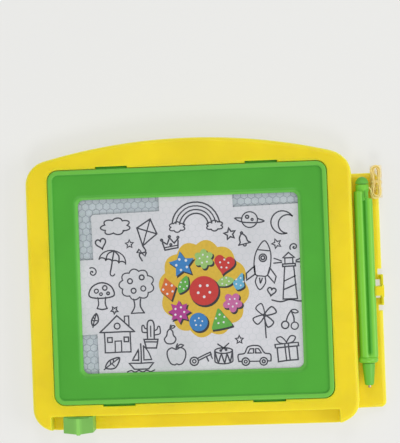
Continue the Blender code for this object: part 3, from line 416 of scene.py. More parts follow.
# Each edge colour is a painted highlight on tilted faces. The colour above a height is a painted highlight on
# the frame's rim top and the knob's ridge strip. The pen's darker valley colour is painted shade.
YELLOW = plastic("yellow_moulding", (0.83, 0.67, 0.013), roughness=0.42, edge=(0.93, 0.83, 0.06), depth=0.0026)
GREEN = plastic("green_moulding", (0.068, 0.372, 0.030), roughness=0.42, edge=(0.17, 0.58, 0.09),
                painted_highlight_above=(0.0152, (0.14, 0.49, 0.052)))
KNOB_GREEN = plastic("knob_moulding", (0.18, 0.45, 0.085), roughness=0.42, edge=(0.23, 0.58, 0.12),
                     painted_highlight_above=(0.0160, (0.26, 0.63, 0.12)))
PEN_GREEN = plastic("pen_moulding", (0.185, 0.585, 0.035), painted_shade_colour=(0.095, 0.45, 0.035), gleam=0.5)
CAP_GREEN = plastic("cap_moulding", (0.13, 0.46, 0.05), roughness=0.42)
NIB_GREEN = plastic("nib_moulding", (0.135, 0.50, 0.032), gleam=0.5)
HIDDEN_GREEN = plastic("carrier_moulding", (0.085, 0.36, 0.045), roughness=0.48)
CELL_EDGE = plastic("cell_wall", (0.26, 0.30, 0.34), roughness=0.4)
WHITE = plastic("white_film", (0.80, 0.81, 0.80), roughness=0.4)
PAPER = paper("sheet_card")
INK = printed("ink", (0.045, 0.048, 0.06), spread=0.15)
# The milky fluid in the cells, with grey iron powder settled in it
CELLS = patterned("cell_fluid", 160, 5, [(0.3, (0.44, 0.50, 0.535)), (0.55, (0.50, 0.56, 0.60)),
                                         (0.75, (0.55, 0.60, 0.63))], {"Roughness": 0.35}, uneven=0.6)
# Clear glossy film with a little haze
FILM = patterned("front_film", 90, 3, [(0.3, (0.72, 0.77, 0.82)), (0.7, (0.78, 0.82, 0.86))],
                 {"Roughness": 0.12, "Alpha": 0.14})
# Plated steel with a fine turned grain
STEEL = patterned("tip_metal", 1, 3, [(0.3, (0.46, 0.33, 0.28)), (0.7, (0.62, 0.47, 0.40))],
                  {"Metallic": 1.0, "Roughness": 0.34}, stretch=(400.0, 6000.0, 400.0))
# A flexible magnet strip: dark, matt and slightly speckled
FERRITE = patterned("magnet_rubber", 3000, 2, [(0.35, (0.045, 0.042, 0.04)), (0.7, (0.09, 0.082, 0.075))],
                    {"Roughness": 0.62})
# Thin twisted string: tan, with darker dips and lighter fibres
STRING = patterned("tan_string", 2400, 4, [(0.3, (0.89, 0.64, 0.18)), (0.55, (0.96, 0.78, 0.28)),
                                           (0.75, (0.98, 0.87, 0.41))],
                   {"Roughness": 0.78, "Sheen Weight": 0.3}, uneven=0.7, bump=(0.00004, 0.6))


def link(made):
    bpy.context.scene.collection.objects.link(made)
    return made


def new_piece(name, bm, looks, body=None, replaces=(), smooth=True):
    """An object from a mesh, with its materials and the calls that give it its place."""
    mesh = bpy.data.meshes.new(name)
    bm.to_mesh(mesh)
    bm.free()
    for face in mesh.polygons:
        face.use_smooth = smooth
    made = link(bpy.data.objects.new(name, mesh))
    for look in looks:
        mesh.materials.append(look)
    if body:
        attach(made, body)
    if replaces:
        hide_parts(*replaces)
    return made


def dress(name, look):
    """A CAD node that stays, with its material."""
    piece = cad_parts[name]
    if not piece.material_slots:
        piece.data.materials.append(look)
    for slot in piece.material_slots:
        slot.material = look


def ease(value):
    """A share that starts and ends gently, kept between 0 and 1."""
    value = min(1.0, max(0.0, value))
    return value * value * (3 - 2 * value)


def join_rings(bm, rings, closed=False):
    """Faces between each ring of points and the next, and from the last to the first if closed."""
    for first, second in zip(rings, rings[1:] + rings[:1] if closed else rings[1:]):
        for corner in range(len(first)):
            after = (corner + 1) % len(first)
            bm.faces.new((first[corner], first[after], second[after], second[corner]))


def turn_outward(bm):
    bmesh.ops.recalc_face_normals(bm, faces=bm.faces)


def mark_sharp(bm, degrees=SHARP_DEG):
    """Sharp edges where the angle is wide, and where a flat upward face ends."""
    limit = math.radians(degrees)
    for edge in bm.edges:
        level = [face.normal.z > LEVEL_FACE for face in edge.link_faces]
        edge.smooth = len(level) == 2 and edge.calc_face_angle(0) < limit and level[0] == level[1]


def eased_copy(source, name, look, rounds):
    """A CAD node's shape, with chosen sharp edges eased, each kind by its width, and its curves smooth."""
    bm = bmesh.new()
    bm.from_mesh(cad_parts[source].data)
    bm.transform(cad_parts[source].matrix_world)
    bmesh.ops.remove_doubles(bm, verts=bm.verts, dist=MERGE)
    limit = math.radians(SHARP_DEG)
    for chosen, width in rounds:
        edges = [edge for edge in bm.edges
                 if len(edge.link_faces) == 2 and edge.calc_face_angle(0) > limit and chosen(edge)]
        bmesh.ops.bevel(bm, geom=edges, offset=width, segments=3, profile=0.5, affect="EDGES",
                        clamp_overlap=False)
    mark_sharp(bm)
    return new_piece(name, bm, [look], "board", replaces=[source])


def stand_upright(tray):
    """Lean the tray's right side less than the CAD's, as the photograph shows beside the stylus."""
    edge = -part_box("base_tray")[0].x
    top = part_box("base_tray")[1].z
    for vert in tray.data.vertices:
        if edge - UPRIGHT_FROM_EDGE < vert.co.x <= edge:
            share = min(1.0, (vert.co.x - edge + UPRIGHT_FROM_EDGE) / UPRIGHT_FADE)
            vert.co.x = min(edge, vert.co.x + UPRIGHT_REACH * share * vert.co.z / top)


def on_tray_face(edge):
    return all(vert.co.z > TRAY_FACE for vert in edge.verts)


def in_window(vert):
    return abs(vert.co.x) < WINDOW_REACH.x and abs(vert.co.y) < WINDOW_REACH.y


def on_window_edge(edge):
    return all(in_window(vert) and vert.co.z > FRAME_LIP for vert in edge.verts)


def on_frame_face(edge):
    return all(not in_window(vert) and vert.co.z > FRAME_LIP for vert in edge.verts)


def camera():
    data = bpy.data.cameras.new("camera")
    data.lens = FOCAL_PX * SENSOR_MM / PHOTO_HEIGHT_PX
    data.sensor_width = SENSOR_MM
    made = link(bpy.data.objects.new("camera", data))
    turn = Matrix((CAMERA_RIGHT, CAMERA_UP, CAMERA_BACK)).transposed()
    made.matrix_world = Matrix.Translation(CAMERA_PLACE) @ turn.to_4x4()
    bpy.context.scene.camera = made


def area_light(name, place, size, watts):
    """A round light that looks at the model's middle."""
    data = bpy.data.lights.new(name, "AREA")
    data.shape = "DISK"
    data.size = size
    data.energy = watts
    turn = Vector(place).to_track_quat("Z", "Y").to_matrix()
    link(bpy.data.objects.new(name, data)).matrix_world = Matrix.Translation(place) @ turn.to_4x4()


def studio():
    bm = bmesh.new()
    bm.faces.new([bm.verts.new((x * FLOOR_HALF, y * FLOOR_HALF, -FLOOR_DROP))
                  for x, y in ((-1, -1), (1, -1), (1, 1), (-1, 1))])
    look = patterned("floor", 6, 2, mottled(FLOOR_COLOUR, 0.015),
                     {"Roughness": 0.8, "Emission Color": (*FLOOR_COLOUR, 1.0),
                      "Emission Strength": FLOOR_GLOW / FLOOR_COLOUR[0]})
    new_piece("floor", bm, [look], smooth=False)
    world = bpy.data.worlds.new("studio")
    world.use_nodes = True
    feed(world.node_tree, world.node_tree.nodes["Background"],
         {"Color": (*WORLD_COLOUR, 1.0), "Strength": WORLD_STRENGTH})
    bpy.context.scene.world = world
    for light in LIGHTS:
        area_light(*light)
    bpy.context.scene.view_settings.view_transform = "Standard"


def hank_radius(turn):
    share = (turn / LOOPS_PER_LAYER) % 2
    return HANK_BEND + LOOPS_PER_LAYER * CORD_STEP * abs(1 - share)


def hank_height(turn):
    return HANK_Z + CORD_STEP * sum(ease((turn - layer * LOOPS_PER_LAYER) / CLIMB_TURNS + 0.5)
                                    for layer in range(1, HANK_LAYERS))


def hank_point(turn):
    """A point on the hank: up the left run, over the top bend, down the right run and back."""
    radius = hank_radius(turn)
    bend = math.pi * radius
    way = (turn % 1) * 2 * (HANK_RUN + bend)
    half = HANK_RUN / 2
    if way < HANK_RUN:
        x, y = -radius, way - half
    elif way < HANK_RUN + bend:
        angle = math.pi - (way - HANK_RUN) / radius
        x, y = radius * math.cos(angle), half + radius * math.sin(angle)
    elif way < 2 * HANK_RUN + bend:
        x, y = radius, half - (way - HANK_RUN - bend)
    else:
        angle = -(way - 2 * HANK_RUN - bend) / radius
        x, y = radius * math.cos(angle), -half + radius * math.sin(angle)
    # The tie draws the runs in at the middle, and the loops lie unevenly at both ends
    tied = max(0.0, 1 - (y / half) ** 2) ** 2
    x *= 1 - HANK_PINCH * tied
    x -= HANK_WANDER * (1 - tied) * (1 - math.cos(math.tau * turn / WANDER_TURNS))
    y += HANK_WANDER * math.sin(math.tau * turn / WANDER_TURNS)
    return Vector((HANK_X + x, HANK_Y + y, hank_height(turn)))


def hank_end_turn():
    """How many turns the string makes: it leaves at the middle of the last bend."""
    turn = HANK_LOOPS
    for _ in range(END_TRIES):
        bend = math.pi * hank_radius(turn)
        turn = HANK_LOOPS - bend / 2 / (2 * (HANK_RUN + bend))
    return turn


def tether_route():
    """The string's whole route: up through the shelf, round the hank and over to the stylus head."""
    quarter = math.pi / 2
    route = [Vector((TETHER_HOLE.x, TETHER_HOLE.y, SHELF_HEIGHT - WALL))]
    route += [TETHER_HOLE + Vector((0, LEAD_BEND * (1 - math.cos(quarter * step / LEAD_STEPS)),
                                    HANK_Z - LEAD_BEND * (1 - math.sin(quarter * step / LEAD_STEPS))))
              for step in range(LEAD_STEPS + 1)]
    last = hank_end_turn()
    count = round(last * POINTS_PER_LOOP)
    route += [hank_point(last * step / count) for step in range(count + 1)]
    from_hank = route[-1] - Vector((CORD_DIAMETER + CLEARANCE, 0, 0))
    mouth = Vector((STYLUS_X + HEAD_RADIUS, BARREL_TOP + HEAD_LENGTH / 2, STYLUS_Z))
    pull = Vector(((from_hank.x - mouth.x) / 2, 0, 0))
    route += interpolate_bezier(from_hank, from_hank - pull, mouth + pull, mouth, 2 * LEAD_STEPS)
    return route + [mouth - Vector((HEAD_HOLE_DEPTH - CLEARANCE, 0, 0))]


def even_route(route, gap):
    """The same route with its points an equal gap apart."""
    lengths = [(second - first).length for first, second in zip(route, route[1:])]
    count = max(1, round(sum(lengths) / gap))
    step = sum(lengths) / count
    made, index, gone = [route[0].copy()], 0, 0.0
    for number in range(1, count):
        while gone + lengths[index] < number * step:
            gone += lengths[index]
            index += 1
        made.append(route[index].lerp(route[index + 1], (number * step - gone) / lengths[index]))
    return made + [route[-1].copy()]


def directions(route):
    """Where a route heads at each of its points."""
    last = len(route) - 1
    return [(route[min(last, index + 1)] - route[max(0, index - 1)]).normalized()
            for index in range(len(route))]


def close_tube(bm, rings):
    join_rings(bm, rings)
    bm.faces.new(rings[0][::-1])
    bm.faces.new(rings[-1])


def twisted_tube(route, radius):
    """A closed tube with the twist of its plies along its route."""
    bm = bmesh.new()
    side = Vector((1, 0, 0))
    rings = []
    walked = 0.0
    for index, (place, ahead) in enumerate(zip(route, directions(route))):
        side = (side - ahead * side.dot(ahead)).normalized()
        up = ahead.cross(side)
        if index:
            walked += (place - route[index - 1]).length
        turn = math.tau * walked / PLY_PITCH / PLIES
        ring = []
        for corner in range(PLY_SIDES):
            angle = math.tau * corner / PLY_SIDES
            bulge = 1 - PLY_DEPTH * (0.5 - 0.5 * math.cos(PLIES * (angle - turn)))
            ring.append(bm.verts.new(place + (side * math.cos(angle) + up * math.sin(angle)) * radius * bulge))
        rings.append(ring)
    close_tube(bm, rings)
    turn_outward(bm)
    return bm


def thread(bm, route, radius, sides):
    """Add a thin tube along a route to a mesh; radius gives its half width at a share of its length."""
    rings = []
    for index, (place, ahead) in enumerate(zip(route, directions(route))):
        side = ahead.cross(THREAD_ASIDE).normalized()
        up = side.cross(ahead)
        half = radius(index / (len(route) - 1))
        angles = [math.tau * corner / sides for corner in range(sides)]
        rings.append([bm.verts.new(place + (side * math.cos(angle) + up * math.sin(angle)) * half)
                      for angle in angles])
    close_tube(bm, rings)


def fluff():
    """Stray fibres of the string: short, thin curls that stand off the hank."""
    random.seed(FLUFF_SEED)
    bm = bmesh.new()
    low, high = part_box("tether_hank")
    inset = Vector((FLUFF_RADIUS, FLUFF_RADIUS, FLUFF_RADIUS))
    low, high = low + inset, high - inset
    for _ in range(FLUFF_COUNT):
        place = hank_point(random.uniform(FLUFF_FROM_START, HANK_LOOPS - FLUFF_FROM_END))
        turn = random.uniform(0, math.tau)
        curl = random.uniform(-FLUFF_CURL, FLUFF_CURL)
        rise = random.uniform(FLUFF_FALL, FLUFF_RISE)
        route = []
        for _ in range(FLUFF_STEPS + 1):
            route.append(Vector([min(max(at, least), most) for at, least, most in zip(place, low, high)]))
            place = place + Vector((math.cos(turn), math.sin(turn), rise)) * FLUFF_STEP
            turn += curl
        thread(bm, route, lambda share: FLUFF_RADIUS * (1 - FLUFF_THINNING * share), FLUFF_SIDES)
    turn_outward(bm)
    return new_piece("tether_fibres", bm, [STRING], "board")


def squared(value):
    """A sine or cosine that makes a circle nearly square."""
    return math.copysign(abs(value) ** TIE_SQUARE, value)


def tie():
    """A few turns of thin thread round the hank's middle."""
    bm = bmesh.new()
    low = SHELF_HEIGHT + TIE_RADIUS
    middle = HANK_Z + HANK_TALL / 2
    wide = HANK_WIDE * (1 - HANK_PINCH) + CORD_DIAMETER / 2 + TIE_RADIUS
    route = []
    for step in range(TIE_TURNS * TIE_STEPS + 1):
        turn = step / TIE_STEPS
        route.append(Vector((HANK_X + wide * squared(math.cos(math.tau * turn)),
                             HANK_Y + (turn - TIE_TURNS / 2) * TIE_PITCH,
                             middle + (middle - low) * squared(math.sin(math.tau * turn)))))
    thread(bm, route, lambda share: TIE_RADIUS, TIE_SIDES)
    turn_outward(bm)
    return new_piece("tether_tie", bm, [STRING], "board")


def tether():
    route = tether_route()
    tube = twisted_tube(even_route(route, PLY_PITCH / PLY_STEPS), CORD_DIAMETER / 2)
    made = new_piece("tether_string", tube, [STRING])
    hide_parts("tether_board_lead", "tether_hank", "tether_stylus_lead")
    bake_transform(made)
    [tuple(point) for point in even_route(route, CORD_DIAMETER)]
    fluff()
    tie()
    dress("tether_knot", STRING)


def lobed_section():
    """The barrel's section as x, z before its turn: round below, two lobes above and a rounded valley."""
    points = []
    for step in range(BELOW_STEPS + 1):
        angle = math.pi + math.pi * step / BELOW_STEPS
        points.append((BARREL_RADIUS * math.cos(angle), BARREL_RADIUS * math.sin(angle)))
    right = [(BARREL_RADIUS, LOBE_X / 2)]
    for step in range(LOBE_STEPS + 1):
        angle = LOBE_SWEEP * step / LOBE_STEPS
        right.append((LOBE_X + LOBE_RADIUS * math.cos(angle), LOBE_X + LOBE_RADIUS * math.sin(angle)))
    right += VALLEY_SIDE
    points += right + [(0.0, VALLEY_FLOOR)] + [(-x, z) for x, z in reversed(right)]
    return [(x - VALLEY_SHIFT * max(0.0, 1 - abs(x) / LOBE_X) if z > 0 else x, z) for x, z in points]


def barrel_point(x, z, y):
    """Where a point of the lobed section lies at a place along the barrel."""
    if z > 0 and abs(x) < LOBE_X:
        cover = LOBE_X + LOBE_RADIUS * (1 - VALLEY_COVER_DIP * (1 - abs(x) / LOBE_X))
        z += max(0.0, cover - z) * (1 - ease((y - COLLAR_TOP) / VALLEY_BOWL))
    x, z = (x * math.cos(BARREL_TURN) + z * math.sin(BARREL_TURN),
            z * math.cos(BARREL_TURN) - x * math.sin(BARREL_TURN))
    away = ease((y - BARREL_TOP + EYELET_LENGTH) / EYELET_ROUND)
    if away and x > EYELET_SIDE:
        limit = BRIDGE_SHIFT + BRIDGE_WIDTH / 2 if z < -EYELET_DEPTH else EYELET_SIDE
        x += (min(x, limit) - x) * away
    if abs(y - CLIP_Y) < CLIP_HALF:
        x = min(x, LOBE_REACH - HOOK_BITE - CLEARANCE)
    return x, z


def round_ring(section, y, radius):
    """A circle with as many points as the section, in the same directions."""
    angles = [math.atan2(z, x) for x, z in section]
    return [(radius * math.cos(angle), radius * math.sin(angle), y) for angle in angles]


def stylus_barrel():
    section = lobed_section()
    low = COLLAR_TOP - COLLAR_LENGTH
    stations = [round_ring(section, low + rise, radius) for rise, radius in COLLAR_PROFILE]
    for y in sorted(start + step * number for start, step, count in BARREL_ROWS for number in range(count)):
        if y < BARREL_STOP:
            stations.append([(*barrel_point(x, z, y), y) for x, z in section])
    stations += [round_ring(section, BARREL_TOP + rise, radius) for rise, radius in HEAD_PROFILE]
    bm = bmesh.new()
    painted_shade_share = bm.verts.layers.float.new("painted_shade_share")
    rings = [[bm.verts.new((STYLUS_X + x, y, STYLUS_Z + z)) for x, z, y in ring] for ring in stations]
    # Painted shade: each point near the valley's middle gets a share of the darker colour, fading out towards
    # the collar and the head.
    for ring in rings:
        y = ring[0].co.y
        shown = ease((y - COLLAR_TOP) / VALLEY_BOWL) * ease((BARREL_TOP - y) / VALLEY_BOWL)
        for vert, (x, z) in zip(ring, section):
            near = ease((VALLEY_SHADE_REACH - abs(x + VALLEY_SHIFT / 2)) / VALLEY_SHADE_FADE)
            vert[painted_shade_share] = shown * near if z > 0 else 0.0
    join_rings(bm, rings)
    bm.faces.new(rings[0])
    bm.faces.new(reversed(rings[-1]))
    turn_outward(bm)
    grip = set(bm.verts)
    side = STYLUS_X + BRIDGE_SHIFT
    foot = BARREL_TOP - EYELET_LENGTH - BRIDGE_BELOW
    rounded_block(bm, (side - BRIDGE_WIDTH / 2, foot, STYLUS_Z - EYELET_DEPTH),
                  (side + BRIDGE_WIDTH / 2, BARREL_TOP + BRIDGE_ABOVE, STYLUS_Z + BRIDGE_RISE), BRIDGE_ROUND)
    # The bridge gets painted shade too.
    for vert in set(bm.verts) - grip:
        vert[painted_shade_share] = BRIDGE_SHADE
    mark_sharp(bm, ROUNDED_SHARP_DEG)
    new_piece("stylus_grip", bm, [PEN_GREEN], "stylus", replaces=["stylus_barrel"])


def rounded_block(bm, low, high, radius):
    """Add a box with rounded edges to a mesh."""
    corners = [bm.verts.new((x, y, z)) for z in (low[2], high[2]) for y in (low[1], high[1])
               for x in (low[0], high[0])]
    quads = ((0, 2, 3, 1), (4, 5, 7, 6), (0, 1, 5, 4), (2, 6, 7, 3), (0, 4, 6, 2), (1, 3, 7, 5))
    faces = [bm.faces.new([corners[index] for index in quad]) for quad in quads]
    edges = list({edge for face in faces for edge in face.edges})
    bmesh.ops.bevel(bm, geom=edges, offset=radius, segments=3, profile=0.5, affect="EDGES")


def thumb_knob():
    """The thumb knob: a low roof with a ridge strip, a pointed nose and a slot between two ears behind."""
    low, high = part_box("slider_knob")
    middle = (low.x + high.x) / 2
    half = (high.x - low.x) / 2
    back, nose = high.y, low.y
    recess = back - KNOB_GAP
    strip, cheek = KNOB_RIDGE_HALF, half - KNOB_CHEEK
    ridge, shoulder, eave = high.z, high.z - KNOB_STRIP_RISE, high.z - KNOB_RIDGE
    across = (half - cheek) / (half - strip)
    brow = eave + (shoulder - eave) * across
    side = nose + KNOB_NOSE
    near = nose + KNOB_STRIP_REACH
    turn = side + (near - side) * across
    # Plan of the top: x, y and height, round from the left front corner
    plan = [(-half, side, eave), (-cheek, turn, brow), (-strip, near, shoulder), (-strip, nose, ridge),
            (strip, nose, ridge), (strip, near, shoulder), (cheek, turn, brow), (half, side, eave),
            (half, back, eave), (cheek, back, brow), (cheek, recess, brow), (strip, recess, shoulder),
            (strip, recess, ridge), (-strip, recess, ridge), (-strip, recess, shoulder), (-cheek, recess, brow),
            (-cheek, back, brow), (-half, back, eave)]
    bm = bmesh.new()
    top = [bm.verts.new((middle + x, y, z)) for x, y, z in plan]
    for corners in ((0, 1, 15, 16, 17), (1, 2, 14, 15), (3, 4, 12, 13), (5, 6, 10, 11), (6, 7, 8, 9, 10),
                    (2, 3, 13, 14), (4, 5, 11, 12)):
        bm.faces.new([top[corner] for corner in corners])
    # Points of the plan that lie over each other share one point of the foot
    foot = []
    for index, (x, y, _) in enumerate(plan):
        over = index and plan[index - 1][:2] == (x, y)
        foot.append(foot[-1] if over else bm.verts.new((middle + x, y, low.z)))
    for index in range(len(plan)):
        after = (index + 1) % len(plan)
        bm.faces.new(list(dict.fromkeys((foot[index], foot[after], top[after], top[index]))))
    bm.faces.new(list(dict.fromkeys(foot))[::-1])
    turn_outward(bm)
    edges = [edge for edge in bm.edges if len(edge.link_faces) == 2
             and edge.calc_face_angle(0) > KNOB_ROUND_FROM
             and max(vert.co.z for vert in edge.verts) > eave - MERGE]
    bmesh.ops.bevel(bm, geom=edges, offset=KNOB_ROUND, segments=2, profile=0.5, affect="EDGES")
    rounded_block(bm, (middle - cheek - KNOB_ROUND, recess - KNOB_ROUND, low.z),
                  (middle + cheek + KNOB_ROUND, back, eave - KNOB_SLOT), KNOB_ROUND)
    mark_sharp(bm, ROUNDED_SHARP_DEG)
    made = new_piece("thumb_knob", bm, [KNOB_GREEN], "eraser", replaces=["slider_knob"])
    made.modifiers.new("Flat faces stay flat", "WEIGHTED_NORMAL").keep_sharp = True


def honeycomb():
    """Hexagonal cells with shared walls and sunken fill, on a closed slab."""
    low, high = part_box("screen_honeycomb_core")
    radius = CELL_PITCH / math.sqrt(3)
    inner = radius - CELL_WALL / 2 / math.cos(math.pi / 6)
    bm = bmesh.new()
    shared = {}

    def hexagon(x, y, reach, height):
        angles = [math.radians(60 * turn + 30) for turn in range(6)]
        return [(x + reach * math.cos(angle), y + reach * math.sin(angle), height) for angle in angles]

    def shared_corner(place):
        key = (round(place[0] / MERGE / 4), round(place[1] / MERGE / 4))
        if key not in shared:
            shared[key] = bm.verts.new(place)
        return shared[key]

    rows = int((high.y - radius) / ROW_STEP)
    columns = int((high.x - CELL_PITCH) / CELL_PITCH)
    for row in range(-rows, rows + 1):
        shift = CELL_PITCH / 2 if row % 2 else 0.0
        for column in range(-columns, columns + 1):
            x, y = column * CELL_PITCH + shift, row * ROW_STEP
            outer = [shared_corner(place) for place in hexagon(x, y, radius, high.z)]
            rim = [bm.verts.new(place) for place in hexagon(x, y, inner, high.z)]
            sunk = [bm.verts.new(place) for place in hexagon(x, y, inner * CELL_TAPER, high.z - CELL_SINK)]
            for turn in range(6):
                after = (turn + 1) % 6
                bm.faces.new((outer[turn], outer[after], rim[after], rim[turn])).material_index = 1
                bm.faces.new((rim[turn], rim[after], sunk[after], sunk[turn])).material_index = 1
            bm.faces.new(sunk)
    rim_edges = [edge for edge in bm.edges if len(edge.link_faces) == 1]
    grown = bmesh.ops.extrude_edge_only(bm, edges=rim_edges)["geom"]
    for item in grown:
        if isinstance(item, bmesh.types.BMVert):
            item.co.z = low.z
    bmesh.ops.contextual_create(bm, geom=[item for item in grown if isinstance(item, bmesh.types.BMEdge)])
    turn_outward(bm)
    new_piece("screen_cells", bm, [CELLS, CELL_EDGE], "board",
              replaces=["screen_honeycomb_core"], smooth=False)


# A stroke is a list of points and whether it is closed. Its unit is the motif's half size


def circle(x, y, radius, tall=None, start=0, end=360, steps=28):
    """An arc or a whole ellipse."""
    tall = radius if tall is None else tall
    whole = end - start >= 360
    count = steps if whole else max(4, round(steps * (end - start) / 360) + 1)
    last = count if whole else count - 1
    angles = [math.radians(start + (end - start) * step / last) for step in range(count)]
    return [(x + radius * math.cos(angle), y + tall * math.sin(angle)) for angle in angles], whole


def line(*points):
    return list(points), False


def loop(*points):
    return list(points), True


def oblong(left, first, right, second):
    """A rectangle; first and second are the levels of its two level sides."""
    return loop((left, first), (right, first), (right, second), (left, second))


def soft(*points, closed=False):
    """A smooth stroke through its points."""
    count = len(points)
    made = []
    for index in range(count if closed else count - 1):
        around = [points[(index + offset) % count] if closed else points[min(count - 1, max(0, index + offset))]
                  for offset in (-1, 0, 1, 2)]
        for step in range(CURVE_STEPS):
            share = step / CURVE_STEPS
            weights = (-0.5 * share + share ** 2 - 0.5 * share ** 3, 1 - 2.5 * share ** 2 + 1.5 * share ** 3,
                       0.5 * share + 2 * share ** 2 - 1.5 * share ** 3, -0.5 * share ** 2 + 0.5 * share ** 3)
            made.append(tuple(sum(weight * point[axis] for weight, point in zip(weights, around))
                              for axis in (0, 1)))
    if not closed:
        made.append(points[-1])
    return made, closed


def flipped(stroke):
    points, closed = stroke
    return [(-x, y) for x, y in points], closed


def both(*strokes):
    """Strokes, and then their mirror images."""
    return [*strokes, *map(flipped, strokes)]


def even(*points):
    """Points from the top round the right side to the foot, and back up as their mirror image."""
    return [*points, *[(-x, y) for x, y in reversed(points) if x]]


def bumpy(x, y, wide, tall, bumps, depth=0.16):
    """A closed outline of round bumps."""
    points = []
    steps = bumps * BUMP_STEPS
    for step in range(steps):
        angle = math.tau * step / steps
        reach = 1 - depth + depth * abs(math.sin(bumps * math.pi * step / steps))
        points.append((x + wide * reach * math.cos(angle), y + tall * reach * math.sin(angle)))
    return points, True


def star(points=5, inner=0.45):
    made = []
    for step in range(2 * points):
        reach = inner if step % 2 else 1
        angle = math.radians(90 + 180 * step / points)
        made.append((reach * math.cos(angle), reach * math.sin(angle)))
    return made, True


def heart(size):
    angles = [math.tau * step / 28 for step in range(28)]
    return [(size * math.sin(angle) ** 3,
             size / 15 * (13 * math.cos(angle) - 5 * math.cos(2 * angle) - 2 * math.cos(3 * angle)
                          - math.cos(4 * angle))) for angle in angles], True


def moon():
    outer, _ = circle(0, 0, 0.9, None, 50, 310)
    inner, _ = circle(0.42, 0, 0.72, None, 72, 288)
    return outer + inner[::-1], True


def pinwheel_blade(turn):
    angle = math.radians(90 * turn + 12)
    across, up = math.cos(angle), math.sin(angle)
    return soft((0, 0.25), (0.72 * across, 0.72 * up + 0.25),
                (0.52 * across - 0.42 * up, 0.52 * up + 0.42 * across + 0.25), closed=True)


def swirl():
    turns = [step * 0.4 for step in range(22)]
    return soft(*[(0.12 * turn * math.cos(turn), 0.12 * turn * math.sin(turn)) for turn in turns])


